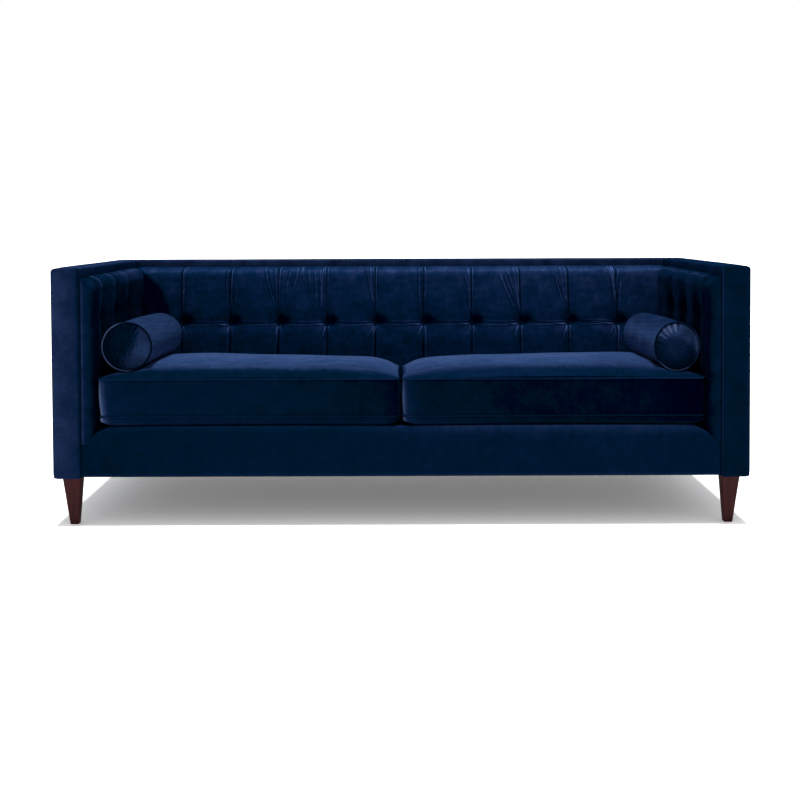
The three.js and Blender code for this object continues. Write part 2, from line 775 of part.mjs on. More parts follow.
function placedBolster(shrink, withWelts) {
  const middle = (bolsterFront + bolsterBack) / 2;
  const geometry = bolsterGeometry(shrink, withWelts).rotateX(-bolsterTilt);
  return solidOf(geometry.translate(bolsterX, middle, bolsterZ));
}

function bolsterCover() {
  const middle = (bolsterFront + bolsterBack) / 2;
  const reach = bolsterHalfLength * zipOpeningShare;
  const zip = solidOf(block(
    bolsterX - bolsterRadius - overrun, bolsterX, middle - reach, middle + reach,
    bolsterZ - zipOpeningHeight / 2, bolsterZ + zipOpeningHeight / 2));
  return placedBolster(0, true).subtract(placedBolster(bolsterCoverWall, false)).subtract(zip);
}

addPair("bolster_cover", geometryOf(bolsterCover()), velvet);
addPair("bolster_filling", geometryOf(placedBolster(bolsterCoverWall + fitGap, false)), fibreFill);

// Seat cushions: a box with welts, drawn-in sides and a crown, dented where the bolster lies
const cushionOuter = armPadFace - cushionGap;
const cushionInner = cushionGap / 2;
const cushionFront = front + cushionFrontInset;
const cushionBack = seatFaceFoot - cushionBackGap;
const cushionHalfX = (cushionOuter - cushionInner) / 2;
const cushionHalfY = (cushionBack - cushionFront) / 2;
const cushionX = -(cushionOuter + cushionInner) / 2;
const cushionY = (cushionFront + cushionBack) / 2;

// The cushion's outline at a height, taken in by inset all round.
// Its sides are drawn in between the corners, the one that meets the other cushion least.
function cushionRing(inset, z) {
  const halfX = cushionHalfX;
  const halfY = cushionHalfY;
  const radius = cushionCornerRadius;
  const points = [];
  for (let side = 0; side < 4; side++) {
    const long = side % 2 === 0 ? halfY : halfX;
    const far = side % 2 === 0 ? halfX : halfY;
    const drawIn = cushionDrawIn * (side === 0 ? cushionInnerDrawInShare : 1);
    for (let i = 0; i < cushionSidePoints; i++) {
      const t = (i + 0.5) / cushionSidePoints;
      const along = (t * 2 - 1) * (long - radius);
      points.push([far - drawIn * Math.sin(t * Math.PI), along, side]);
    }
    for (let i = 0; i < cushionCornerPoints; i++) {
      const angle = ((i + 0.5) / cushionCornerPoints) * Math.PI / 2;
      points.push([far - radius + radius * Math.cos(angle), long - radius + radius * Math.sin(angle), side]);
    }
  }
  return points.map(([out, along, side]) => {
    const angle = side * Math.PI / 2;
    const x = out * Math.cos(angle) - along * Math.sin(angle);
    const y = out * Math.sin(angle) + along * Math.cos(angle);
    return new THREE.Vector3(
      cushionX + x * (halfX - inset) / halfX, cushionY + y * (halfY - inset) / halfY, z);
  });
}

// A point of the cushion let down with its top, which lies lower at the rear, and most so beside the
// other cushion
function settled(point) {
  const raised = Math.min(1, Math.max(0, (point.z - lowerWelt) / cushionBoxing));
  const rearward = (point.y - cushionFront) / (cushionBack - cushionFront);
  const inward = (point.x + cushionOuter) / (cushionOuter - cushionInner);
  const drop = cushionOuterRearDrop + (cushionInnerRearDrop - cushionOuterRearDrop) * inward;
  return new THREE.Vector3(point.x, point.y, point.z - raised * rearward * drop);
}

// How much of the crown is left at a place, which falls off latest towards the other cushion
function crownShareAt(x, y) {
  const sideways = x > 0 ? crownInnerPower : crownPower;
  return (1 - Math.abs(x / cushionHalfX) ** sideways) * (1 - Math.abs(y / cushionHalfY) ** crownPower);
}

// The cushion's solid taken in by shrink, with its welts or plain
function cushionSolid(shrink, withWelts) {
  const rings = [];
  const wall = cushionWeltRadius + shrink;
  const welt = (z) => {
    rings.push(cushionRing(wall, z - cushionWeltRadius));
    rings.push(cushionRing(0, z));
    rings.push(cushionRing(wall, z + cushionWeltRadius));
  };
  const underInset = cushionHalfY * underInsetShare;
  rings.push(cushionRing(underInset + wall, cushionBottom + shrink));
  rings.push(cushionRing(underInset / 3 + wall, cushionBottom + shrink + cushionRiseToWelt / 4));
  if (withWelts) {
    welt(lowerWelt);
    welt(upperWelt);
  } else {
    rings.push(cushionRing(wall, lowerWelt));
    rings.push(cushionRing(wall, upperWelt - shrink));
  }
  for (const share of crownRingShares) {
    rings.push(cushionRing(wall, upperWelt - shrink).map((point) => {
      const x = (point.x - cushionX) * share;
      const y = (point.y - cushionY) * share;
      return new THREE.Vector3(cushionX + x, cushionY + y, point.z + cushionCrown * crownShareAt(x, y));
    }));
  }
  return solidOf(loft(rings.map((ring) => ring.map(settled))));
}

// The space a bolster needs, grown all round, for denting the cushion under it
function bolsterDent(grow) {
  const radius = bolsterRadius + bolsterWeltRadius + grow;
  const length = bolsterHalfLength * 2 + grow * 2;
  const dent = new THREE.CylinderGeometry(radius, radius, length, bolsterSides * 2);
  return solidOf(dent.rotateX(-bolsterTilt).translate(bolsterX, (bolsterFront + bolsterBack) / 2, bolsterZ));
}

function cushionCover() {
  const hollow = cushionSolid(cushionCoverWall, false).subtract(bolsterDent(fitGap + cushionCoverWall));
  const middle = (lowerWelt + upperWelt) / 2;
  const zip = solidOf(block(
    cushionX - cushionHalfX * zipOpeningShare, cushionX + cushionHalfX * zipOpeningShare,
    cushionY, cushionBack + overrun, middle - zipOpeningHeight / 2, middle + zipOpeningHeight / 2));
  return cushionSolid(0, true).subtract(bolsterDent(fitGap)).subtract(hollow).subtract(zip);
}

function cushionFoam() {
  return cushionSolid(cushionCoverWall + fitGap, false).subtract(bolsterDent(fitGap * 2 + cushionCoverWall));
}

addPair("seat_cushion_cover", geometryOf(cushionCover()), velvet);
addPair("seat_cushion_foam", geometryOf(cushionFoam()), foam);

export default sofa;
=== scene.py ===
"""A tuxedo sofa in navy velvet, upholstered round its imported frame."""

import math

import bmesh
import bpy
import numpy as np
from mathutils import Matrix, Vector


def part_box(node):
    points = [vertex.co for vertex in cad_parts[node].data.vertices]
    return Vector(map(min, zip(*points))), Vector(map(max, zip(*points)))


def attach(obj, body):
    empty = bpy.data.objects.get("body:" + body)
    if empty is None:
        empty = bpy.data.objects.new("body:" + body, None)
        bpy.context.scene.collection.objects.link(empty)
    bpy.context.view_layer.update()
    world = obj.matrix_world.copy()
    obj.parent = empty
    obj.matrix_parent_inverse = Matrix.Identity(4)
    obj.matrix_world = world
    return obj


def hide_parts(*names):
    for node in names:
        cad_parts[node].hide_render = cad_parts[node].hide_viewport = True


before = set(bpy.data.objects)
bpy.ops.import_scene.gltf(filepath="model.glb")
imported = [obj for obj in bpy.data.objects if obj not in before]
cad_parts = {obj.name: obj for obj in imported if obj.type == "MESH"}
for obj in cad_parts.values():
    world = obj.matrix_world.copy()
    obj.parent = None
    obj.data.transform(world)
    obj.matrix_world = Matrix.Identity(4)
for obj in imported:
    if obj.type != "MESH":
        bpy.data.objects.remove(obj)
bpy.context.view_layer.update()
scene = bpy.context.scene
MM = 0.001

# The camera, worked out from the photograph in its own pixels
PHOTO_WIDTH = 800
FOCAL_PIXELS = 1123.3
SENSOR_WIDTH = 36.0
PRINCIPAL_X = 400.4
PRINCIPAL_Y = 242.1
CAMERA_DISTANCE = 3.4125
CAMERA_HEIGHT = 0.9358
CAMERA_TILT = math.radians(1.162)
CAMERA_ROLL = math.radians(-0.207)

# The two halves of the sofa, by the sign of x on their side
SIDE_WORD = {-1: "left", 1: "right"}


def corners(node):
    """The low and the high corner of a CAD piece's box."""
    low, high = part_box(node)
    return np.array(low), np.array(high)


def middle_of(node, axis):
    low, high = corners(node)
    return (low[axis] + high[axis]) / 2


# Where the CAD pieces are
SOFA_LOW = corners("arm_casing_left")[0]
SOFA_HIGH = corners("arm_casing_right")[1]
ARM_WIDTH = corners("arm_casing_left")[1][0] - SOFA_LOW[0]
FRONT, CASING_FOOT = SOFA_LOW[1:]
HALF_WIDTH, TOP = SOFA_HIGH[0], SOFA_HIGH[2]
INNER_HALF_WIDTH = HALF_WIDTH - ARM_WIDTH
BACK_FACE, BACK = (corner[1] for corner in corners("back_casing"))


# Small tools for meshes

def add_piece(name, points, faces, material, body):
    """A smooth mesh piece that rides on a body."""
    mesh = bpy.data.meshes.new(name)
    mesh.from_pydata(np.asarray(points, float).tolist(), [], faces)
    mesh.validate()
    mesh.shade_smooth()
    mesh.materials.append(material)
    piece = bpy.data.objects.new(name, mesh)
    scene.collection.objects.link(piece)
    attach(piece, body)
    return piece


def strip_faces(rows, columns, closed=False, start=0):
    """Quads between rows of points, each row open or closed into a ring."""
    across = columns if closed else columns - 1
    row, column = np.meshgrid(np.arange(rows - 1), np.arange(across), indexing="ij")
    here = start + row * columns + column
    beside = start + row * columns + (column + 1) % columns
    quads = np.stack([here, beside, beside + columns, here + columns], axis=-1).reshape(-1, 4)
    return quads.tolist()


def fan_faces(ring, centre, outwards=True):
    """Triangles from a ring of point numbers to its centre point."""
    pairs = zip(ring, ring[1:] + ring[:1])
    return [[a, b, centre] if outwards else [b, a, centre] for a, b in pairs]


def lofted(rings):
    """Points and faces of a skin over closed rings, anticlockwise from above, closed at both ends."""
    rings = np.asarray(rings)
    count, around = rings.shape[:2]
    points = np.concatenate([rings.reshape(-1, 3), rings[:1].mean(1), rings[-1:].mean(1)])
    faces = strip_faces(count, around, closed=True)
    faces += fan_faces(list(range(around)), count * around, outwards=False)
    faces += fan_faces(list(range((count - 1) * around, count * around)), count * around + 1)
    return points, faces


def tube_along(path, radius, up, sides=10):
    """Points and faces of a closed loop of tube whose section is set square to the path and to up."""
    path = np.asarray(path)
    tangent = np.roll(path, -1, 0) - np.roll(path, 1, 0)
    tangent /= np.linalg.norm(tangent, axis=1)[:, None]
    side = np.cross(tangent, np.asarray(up, float))
    side /= np.linalg.norm(side, axis=1)[:, None]
    rise = np.cross(side, tangent)
    angle = np.linspace(0, 2 * np.pi, sides, endpoint=False)
    section = side[:, None] * np.cos(angle)[None, :, None] + rise[:, None] * np.sin(angle)[None, :, None]
    points = (path[:, None] + section * radius).reshape(-1, 3)
    count = len(path)
    faces = strip_faces(count, sides, closed=True)
    last = (count - 1) * sides
    faces += [[last + i, last + (i + 1) % sides, (i + 1) % sides, i] for i in range(sides)]
    return points, faces


def spread(start, end, step, fine_places=(), fine_step=None, reach=0.0):
    """Places from start to end, a step apart, and closer together near the fine places."""
    places = [start]
    while places[-1] < end:
        here = places[-1]
        near = any(abs(here - place) < reach for place in fine_places)
        places.append(here + (fine_step if near else step))
    places[-1] = end
    if len(places) > 2 and places[-1] - places[-2] < 0.3 * step:
        places.pop(-2)
    return np.array(places)


def ripple(a, b, seed, size, waves=9):
    """A smooth random surface over two coordinates, about -1 to 1, with hills about size across."""
    rng = np.random.default_rng(seed)
    total = np.zeros(np.broadcast(a, b).shape)
    for _ in range(waves):
        angle, phase = rng.uniform(0, 2 * np.pi, 2)
        turns = rng.uniform(0.6, 1.5) * 2 * np.pi / (2 * size)
        total += np.sin((a * math.cos(angle) + b * math.sin(angle)) * turns + phase)
    return total / math.sqrt(waves) / 1.5


def smoothstep(low, high, value):
    share = np.clip((value - low) / (high - low), 0, 1)
    return share * share * (3 - 2 * share)


def hill(distance, width):
    """1 at no distance, falling off smoothly within about the width on either side."""
    return np.exp(-((distance / width) ** 2))


# Finishes

class Tone:
    """A number that varies over a surface: the socket that carries it. Arithmetic with it adds Math nodes."""

    def __init__(self, finish, socket):
        self.finish = finish
        self.socket = socket

    def maths(self, operation, *values):
        return self.finish.node("ShaderNodeMath", {"operation": operation}, dict(enumerate(values)))

    def __add__(self, other):
        return self.maths("ADD", self, other)

    def __radd__(self, other):
        return self.maths("ADD", other, self)

    def __sub__(self, other):
        return self.maths("SUBTRACT", self, other)

    def __rsub__(self, other):
        return self.maths("SUBTRACT", other, self)

    def __mul__(self, other):
        return self.maths("MULTIPLY", self, other)

    def __rmul__(self, other):
        return self.maths("MULTIPLY", other, self)

    def between(self, low, high):
        """0 where this is low or less, 1 where it is high or more."""
        return self.finish.node("ShaderNodeMapRange", {"interpolation_type": "SMOOTHSTEP"},
                                {"Value": self, "From Min": low, "From Max": high})


class Finish:
    """A material being made, and the one method that adds its nodes."""

    def __init__(self, name, **skin):
        self.material = bpy.data.materials.new(name)
        self.material.use_nodes = True
        self.tree = self.material.node_tree
        self.skin = self.tree.nodes["Principled BSDF"]
        for socket, value in skin.items():
            self.skin.inputs[socket.replace("_", " ")].default_value = value

    def node(self, kind, settings=None, sockets=None, output=0):
        made = self.tree.nodes.new(kind)
        for key, value in (settings or {}).items():
            if key == "stops":
                ramp = made.color_ramp
                while len(ramp.elements) < len(value):
                    ramp.elements.new(0.5)
                for element, (place, colour) in zip(ramp.elements, value):
                    element.position = place
                    element.color = (*colour, 1)
            else:
                setattr(made, key, value)
        for key, value in (sockets or {}).items():
            if isinstance(value, Tone):
                self.tree.links.new(value.socket, made.inputs[key])
            else:
                made.inputs[key].default_value = value
        return Tone(self, made.outputs[output])

    def feed(self, **sockets):
        for name, tone in sockets.items():
            self.tree.links.new(tone.socket, self.skin.inputs[name.replace("_", " ")])
        return self

    def place(self, stretch=(1, 1, 1)):
        """Where on the piece a point is, in metres, stretched along each axis."""
        here = self.node("ShaderNodeTexCoord", output="Object")
        return self.node("ShaderNodeVectorMath", {"operation": "MULTIPLY"}, {0: here, 1: stretch})

    def noise(self, place, scale, detail=2.0, roughness=0.5, distortion=0.0):
        return self.node("ShaderNodeTexNoise", None, {"Vector": place, "Scale": scale, "Detail": detail,
                                                      "Roughness": roughness, "Distortion": distortion})

    def blend(self, factor, low, high):
        """A colour between two colours."""
        return self.node("ShaderNodeMix", {"data_type": "RGBA"}, {"Factor": factor, 6: low, 7: high},
                         output=2)

    def bump(self, height, strength, distance):
        return self.node("ShaderNodeBump", None,
                         {"Height": height, "Strength": strength, "Distance": distance})


# Navy by the nap and painted light of each point, from pile that is looked into and in painted shade to pile
# that is looked across and in painted light, and the colour of a painted highlight on edges beyond that
NAVY = [(0.00, (0.0000, 0.0002, 0.0085)), (0.12, (0.0001, 0.0030, 0.0160)), (0.20, (0.0002, 0.0085, 0.0215)),
        (0.30, (0.0004, 0.0108, 0.0325)), (0.40, (0.0012, 0.0130, 0.0440)), (0.50, (0.0040, 0.0168, 0.0580)),
        (0.60, (0.0095, 0.0225, 0.0725)), (0.72, (0.0165, 0.0370, 0.1080)), (0.86, (0.0267, 0.0611, 0.1720)),
        (1.00, (0.0600, 0.1000, 0.2450))]
EDGE_LIGHT = (0.36, 0.46, 0.80)


def velvet(name, seed, depth=1.0, mottle=1.0):
    """Short navy cotton pile. The value painted on each point of the mesh holds both how far the pile leans
    and painted light and shade; depth makes the whole cloth lighter, a painted light where it is used in the
    shade of the seat."""
    finish = Finish(name, Sheen_Weight=0.03, Sheen_Roughness=0.3, Sheen_Tint=(0.10, 0.35, 1.0, 1.0), IOR=1.3,
                    Specular_IOR_Level=0.0)
    place = finish.node("ShaderNodeVectorMath", {"operation": "ADD"},
                        {0: finish.place(), 1: (seed * 3.1, seed * 1.7, seed)})
    nap = finish.node("ShaderNodeAttribute", {"attribute_name": "nap"}, output=2)
    brushed = finish.noise(place, 6.5, 4.0, 0.62, 0.6) - 0.5
    crushed = finish.noise(place, 42.0, 2.0, 0.6, 0.4) - 0.5
    streak = finish.noise(finish.place((30, 30, 10)), 1.9, 3.0, 0.6) - 0.5
    fibre = finish.noise(place, 900.0, 2.0, 0.7)
    clump = finish.noise(place, 160.0, 3.0, 0.65)
    # The ramp's share: the painted nap and light of the mesh, plus random mottle in the pile
    lean = nap + mottle * (brushed * 0.16 + crushed * 0.20 + streak * 0.08 + (clump - 0.5) * 0.20)
    stops = [(stop, tuple(part * depth for part in colour)) for stop, colour in NAVY]
    colour = finish.node("ShaderNodeValToRGB", {"stops": stops}, {0: lean})
    # Past the end of the ramp the colour turns to EDGE_LIGHT, a painted highlight
    colour = finish.blend(lean.between(1.0, 2.0), colour, (*EDGE_LIGHT, 1))
    normal = finish.bump(fibre * 0.5 + clump * 0.8, 0.22, 0.0006)
    finish.feed(Base_Color=colour, Roughness=0.80 + 0.14 * brushed, Normal=normal)
    return finish.material


def stained_mahogany():
    """Straight grain under a brown-red stain and a satin lacquer."""
    finish = Finish("stained_mahogany", Coat_Roughness=0.3, IOR=1.45, Specular_IOR_Level=0.12)
    grain = finish.noise(finish.place((1, 1, 0.045)), 95.0, 5.0, 0.6, 0.25)
    pores = finish.noise(finish.place((1, 1, 0.02)), 620.0, 2.0, 0.6).between(0.52, 0.7)
    cloud = finish.noise(finish.place(), 16.0, 2.0)
    colour = finish.node("ShaderNodeValToRGB", {"stops": [
        (0.3, (0.032, 0.006, 0.007)), (0.5, (0.056, 0.011, 0.0125)), (0.72, (0.084, 0.018, 0.017)),
    ]}, {0: grain * 0.8 + cloud * 0.2})
    colour = finish.blend(pores * 0.55, colour, (0.012, 0.004, 0.003, 1))
    finish.feed(Base_Color=colour, Roughness=0.3 + grain * 0.16, Coat_Weight=0.05 - pores * 0.04,
                Normal=finish.bump(grain - pores * 0.5, 0.16, 0.0006))
    return finish.material


def sawn_hardwood():
    finish = Finish("sawn_hardwood")
    grain = finish.noise(finish.place((0.12, 0.5, 1)), 60.0, 5.0, 0.6, 0.4)
    saw = finish.noise(finish.place((1, 0.1, 0.1)), 260.0, 1.0)
    colour = finish.node("ShaderNodeValToRGB", {"stops": [
        (0.3, (0.32, 0.19, 0.085)), (0.55, (0.5, 0.33, 0.17)), (0.75, (0.62, 0.44, 0.25)),
    ]}, {0: grain})
    finish.feed(Base_Color=colour, Roughness=0.62 + grain * 0.2,
                Normal=finish.bump(grain + saw * 0.4, 0.25, 0.0008))
    return finish.material


def spring_wire():
    finish = Finish("spring_wire", Metallic=1.0)
    film = finish.noise(finish.place(), 70.0, 3.0)
    colour = finish.blend(film, (0.10, 0.10, 0.11, 1), (0.30, 0.30, 0.32, 1))
    finish.feed(Base_Color=colour, Roughness=0.28 + film * 0.3)
    return finish.material


def woven_cloth(name, dark, light, threads, sheen=0.15):
    """Plain weave: two sets of threads, square to each other, with slubs."""
    finish = Finish(name, Sheen_Weight=sheen, Specular_IOR_Level=0.02)
    bands = {"wave_type": "BANDS", "wave_profile": "SIN"}
    warp, weft, rise = (finish.node("ShaderNodeTexWave", {**bands, "bands_direction": axis},
                                    {"Vector": finish.place(), "Scale": threads, "Distortion": 0.6}, output=1)
                        for axis in "XYZ")
    slub = finish.noise(finish.place((1, 0.2, 0.2)), 140.0, 3.0)
    height = warp.maths("MAXIMUM", warp, weft * (rise * 0.6 + 0.4))
    colour = finish.blend(height * 0.6 + slub * 0.5, (*dark, 1), (*light, 1))
    finish.feed(Base_Color=colour, Roughness=0.82 + slub * 0.12,
                Normal=finish.bump(height + slub * 0.4, 0.5, 0.0006))
    return finish.material


SEAT_VELVET = velvet("navy_velvet_seat", seed=1)
# A lighter copy of the velvet: painted light against the shade inside the back
BACK_VELVET = velvet("navy_velvet_inside_back", seed=2, depth=1.55)
ARM_VELVET = velvet("navy_velvet_inside_arms", seed=6)
OUTSIDE_VELVET = velvet("navy_velvet_outside", seed=3)
RAIL_VELVET = velvet("navy_velvet_rail", seed=4, mottle=1.2)
BOLSTER_VELVET = velvet("navy_velvet_bolster", seed=5)
MAHOGANY = stained_mahogany()
HARDWOOD = sawn_hardwood()
WIRE = spring_wire()
BURLAP = woven_cloth("jute_burlap", (0.20, 0.13, 0.06), (0.52, 0.38, 0.21), 260.0)
CAMBRIC = woven_cloth("black_cambric", (0.004, 0.004, 0.005), (0.022, 0.022, 0.025), 620.0)
DECK_CLOTH = woven_cloth("navy_deck_cloth", (0.0002, 0.0008, 0.0030), (0.0006, 0.0022, 0.0075), 520.0, 0.0)


# Outside casings: soft boxes, mitred at the back corners

BOX_UNEVEN = 0.0006


def soft_box(low, high, radius, puff, step, fine_step, seed):
    """Points and faces of a closed box with rounded edges and slightly full, slightly uneven faces."""
    middle, half = (low + high) / 2, (high - low) / 2
    axes = []
    for h in half:
        inner = spread(-h + radius, h - radius, step)
        edge = np.linspace(0, radius, max(3, round(radius / fine_step)) + 1)
        axes.append(np.concatenate([-h + edge[:-1], inner, h - radius + edge[1:]]))
    points, faces, start = [], [], 0
    for axis in range(3):
        a, b = [i for i in range(3) if i != axis]
        for sign in (-1, 1):
            ga, gb = np.meshgrid(axes[a], axes[b], indexing="ij")
            p = np.zeros((*ga.shape, 3))
            p[..., a], p[..., b], p[..., axis] = ga, gb, sign * half[axis]
            core = np.clip(p, -(half - radius), half - radius)
            out = p - core
            out /= np.linalg.norm(out, axis=-1, keepdims=True)
            surface = core + out * radius
            full = (1 - np.abs(ga / half[a]) ** 4) * (1 - np.abs(gb / half[b]) ** 4)
            uneven = BOX_UNEVEN * ripple(ga, gb, seed + axis * 2 + sign, 0.16) * full
            surface[..., axis] += sign * (puff * (full - 1) + uneven)
            points.append((surface + middle).reshape(-1, 3))
            quads = np.array(strip_faces(len(axes[a]), len(axes[b]), start=start))
            faces += (quads if (sign > 0) == (axis == 1) else quads[:, ::-1]).tolist()
            start += ga.size
    return np.concatenate(points), faces


def weld(piece, distance):
    """Joins the sides of a piece where they meet, and turns its faces outwards."""
    work = bmesh.new()
    work.from_mesh(piece.data)
    bmesh.ops.remove_doubles(work, verts=work.verts, dist=distance)
    bmesh.ops.recalc_face_normals(work, faces=work.faces)
    work.to_mesh(piece.data)
    work.free()
    piece.data.shade_smooth()


def mesh_array(items, field, width, kind=float):
    """One field of a mesh's vertices or edges, as an array with a row for each."""
    values = np.empty(len(items) * width, kind)
    items.foreach_get(field, values)
    return values.reshape(-1, width)


# A crest or hollow of this radius or less gets its painted highlight or painted shade in full
CREST_RADIUS = 0.006


def brush(piece, base=0.0, up=0.0, up_from=0.90, up_to=0.99, crest=0.0, hollow=0.0, extra=None):
    """Paints the pile's nap together with painted light and shade: a level for the whole piece, painted light
    where it faces up and on crests, painted shade in hollows, and what extra works out from the points and
    their normals."""
    mesh = piece.data
    count = len(mesh.vertices)
    points = mesh_array(mesh.vertices, "co", 3)
    normals = mesh_array(mesh.vertex_normals, "vector", 3)
    edges = mesh_array(mesh.edges, "vertices", 2, int)
    here, there = np.concatenate([edges, edges[:, ::-1]]).T
    offset = points[there] - points[here]
    length = (offset ** 2).sum(1)
    fall = -(offset * normals[here]).sum(1) / np.maximum(length, 1e-10)
    near = np.maximum(np.bincount(here, minlength=count), 1)
    curve = np.bincount(here, weights=fall, minlength=count) / near
    for _ in range(2):
        curve = 0.5 * curve + 0.5 * np.bincount(here, weights=curve[there], minlength=count) / near
    curve = np.clip(curve * CREST_RADIUS, -1, 1)
    # Painted light where the piece faces up and on its crests, painted shade in its hollows
    nap = base + up * smoothstep(up_from, up_to, normals[:, 2])
    nap = nap + np.where(curve > 0, crest * curve, hollow * curve)
    if extra is not None:
        nap = nap + extra(points, normals)
    layer = mesh.attributes.new("nap", "FLOAT", "POINT")
    layer.data.foreach_set("value", nap.astype(np.float32))


# How near each other points lie that are welded into one
WELD = 1e-5
FINE_WELD = 1e-7


def upholster(name, points, faces, cloth, body="sofa", seam=None, **nap):
    """A velvet piece with its nap and its painted light and shade on it, welded where points lie within seam
    of each other.
    """
    piece = add_piece(name, points, faces, cloth, body)
    if seam:
        weld(piece, seam)
    brush(piece, **nap)
    return piece


# How round the casings' edges are, how full their faces, and how far apart their points lie on both
CASING_ROUND = 0.006
CASING_PUFF = 0.0004
CASING_STEPS = (0.010, 0.0015)
# The mitred seams between arms and back
MITRE_GAP = 0.0001
SEAM_DEPTH = 0.0016
SEAM_REACH = 0.0022
# The foot: how round the arms' long edges are, and how far the cloth hangs below the frame
FOOT_ROUND = 0.014
FOOT_EDGE = 0.02
ARM_HANG = 0.0058
BACK_HANG = 0.0022
# How much an arm's top rises towards the front, and how much its outer front corner gives way
ARM_TOP_RISE = 0.0042
ARM_CORNER_DROP = 0.0055

# The nap and painted light across each arm's front panel, with painted shade at its edges: millimetres in
# from its outer edge, and the value there
PANEL_NAP_AND_LIGHT = {
    -1: ([0, 2.5, 4, 8, 30, 52, 74, 80, 83, 86],
         [0.02, 0.10, 0.70, 0.66, 0.63, 0.58, 0.55, 0.46, 0.30, 0.10]),
    1: ([0, 2.5, 4, 9, 14, 76, 79, 82, 84, 88],
        [0.02, 0.06, 0.40, 0.36, 0.28, 0.30, 0.20, 0.26, 0.56, 0.50]),
}
# How far each arm's outer side comes in at its foot
PANEL_LEAN = {-1: 0.0032, 1: 0.0013}
# The nap and painted light of each arm's top, and of its inner side above its pad
ARM_TOP_NAP_AND_LIGHT = {-1: 0.66, 1: 0.42}
INNER_NAP_AND_LIGHT = {-1: 0.34, 1: 0.30}


def seam_dip(distance):
    """How far cloth dips into a sewn seam."""
    return SEAM_DEPTH * np.exp(-distance / SEAM_REACH)


def mitre_share(inwards):
    """How far across an arm's width a point lies, 0 at its inner side and 1 at its outer."""
    return np.clip(inwards / ARM_WIDTH, 0, 1)


def arm_casing(side):
    """One arm's outside, from its front panel back to the mitre."""
    node = "arm_casing_" + SIDE_WORD[side]
    low, high = corners(node)
    reach = np.array([0, CASING_ROUND * 2, 0])
    points, faces = soft_box(low, high + reach, CASING_ROUND, CASING_PUFF, *CASING_STEPS, seed=20 + side)
    x, y, z = points.T
    outer = np.abs(x)
    mitre = BACK_FACE + mitre_share(outer - INNER_HALF_WIDTH) * (BACK - BACK_FACE) - MITRE_GAP
    z -= seam_dip(np.maximum(mitre - y, 0)) * smoothstep(TOP - 0.03, TOP, z)
    np.minimum(y, mitre, out=y)
    # The long edge at the foot is rounded
    dx = outer - (HALF_WIDTH - FOOT_ROUND)
    dz = CASING_FOOT + FOOT_ROUND - z
    far = np.hypot(dx, dz)
    sharp = (dx > 0) & (dz > 0) & (far > FOOT_ROUND)
    shrink = FOOT_ROUND / far[sharp]
    x[sharp] = side * (HALF_WIDTH - FOOT_ROUND + dx[sharp] * shrink)
    z[sharp] = CASING_FOOT + FOOT_ROUND - dz[sharp] * shrink
    # The top rises towards the front and gives way at its outer front corner
    z += ARM_TOP_RISE * (BACK - y) / (BACK - FRONT) * smoothstep(TOP - 0.15, TOP, z)
    corner = smoothstep(HALF_WIDTH - 0.016, HALF_WIDTH, outer) ** 2 * smoothstep(FRONT + 0.12, FRONT, y)
    z -= ARM_CORNER_DROP * corner * smoothstep(TOP - 0.02, TOP, z)
    leaning = smoothstep(INNER_HALF_WIDTH + 0.03, HALF_WIDTH - 0.006, outer) * (TOP - z) / (TOP - CASING_FOOT)
    x -= side * PANEL_LEAN[side] * leaning
    z -= ARM_HANG * smoothstep(CASING_FOOT + FOOT_EDGE, CASING_FOOT, z)

    # Painted light and shade by which way each face turns: the front panel by its table, and the top, the
    # outer side and the inner side each at their own level
    def lay(points, normals):
        x, y, z = points.T
        _, ny, nz = normals.T
        inwards = HALF_WIDTH - np.abs(x) - PANEL_LEAN[side] * (TOP - z) / (TOP - CASING_FOOT)
        panel = np.interp(inwards / MM, *PANEL_NAP_AND_LIGHT[side]) + 0.05 * ripple(x, z, 24 + side, 0.06)
        inner = inwards > ARM_WIDTH - 0.012
        front = np.where(inner, smoothstep(0.02, -0.25, ny), smoothstep(-0.2, -0.6, ny))
        top = ARM_TOP_NAP_AND_LIGHT[side] + 0.09 * ripple(x, y, 27 + side, 0.035, 28)
        top = top + 0.05 * ripple(x, y, 26 + side, 0.012)
        seam = mitre_share(ARM_WIDTH - inwards) * (BACK - BACK_FACE) + BACK_FACE - y
        # A painted highlight along the mitre seam with painted shade behind it, and painted light at the top
        # of the inner side
        top = top + 0.55 * hill(seam - 0.007, 0.006) - 0.25 * hill(seam - 0.022, 0.006)
        inner_light = INNER_NAP_AND_LIGHT[side] + 0.14 * smoothstep(TOP - 0.022, TOP - 0.008, z)
        sides = np.where(inwards < 0.02, 0.36, inner_light) + 0.05 * ripple(y, z, 29 + side, 0.09, 28)
        return front * panel + (1 - front) * np.where(nz > 0.5, top, sides)

    piece = upholster("arm_outside_" + SIDE_WORD[side], points, faces, OUTSIDE_VELVET, seam=WELD,
                      extra=lay)
    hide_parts(node)


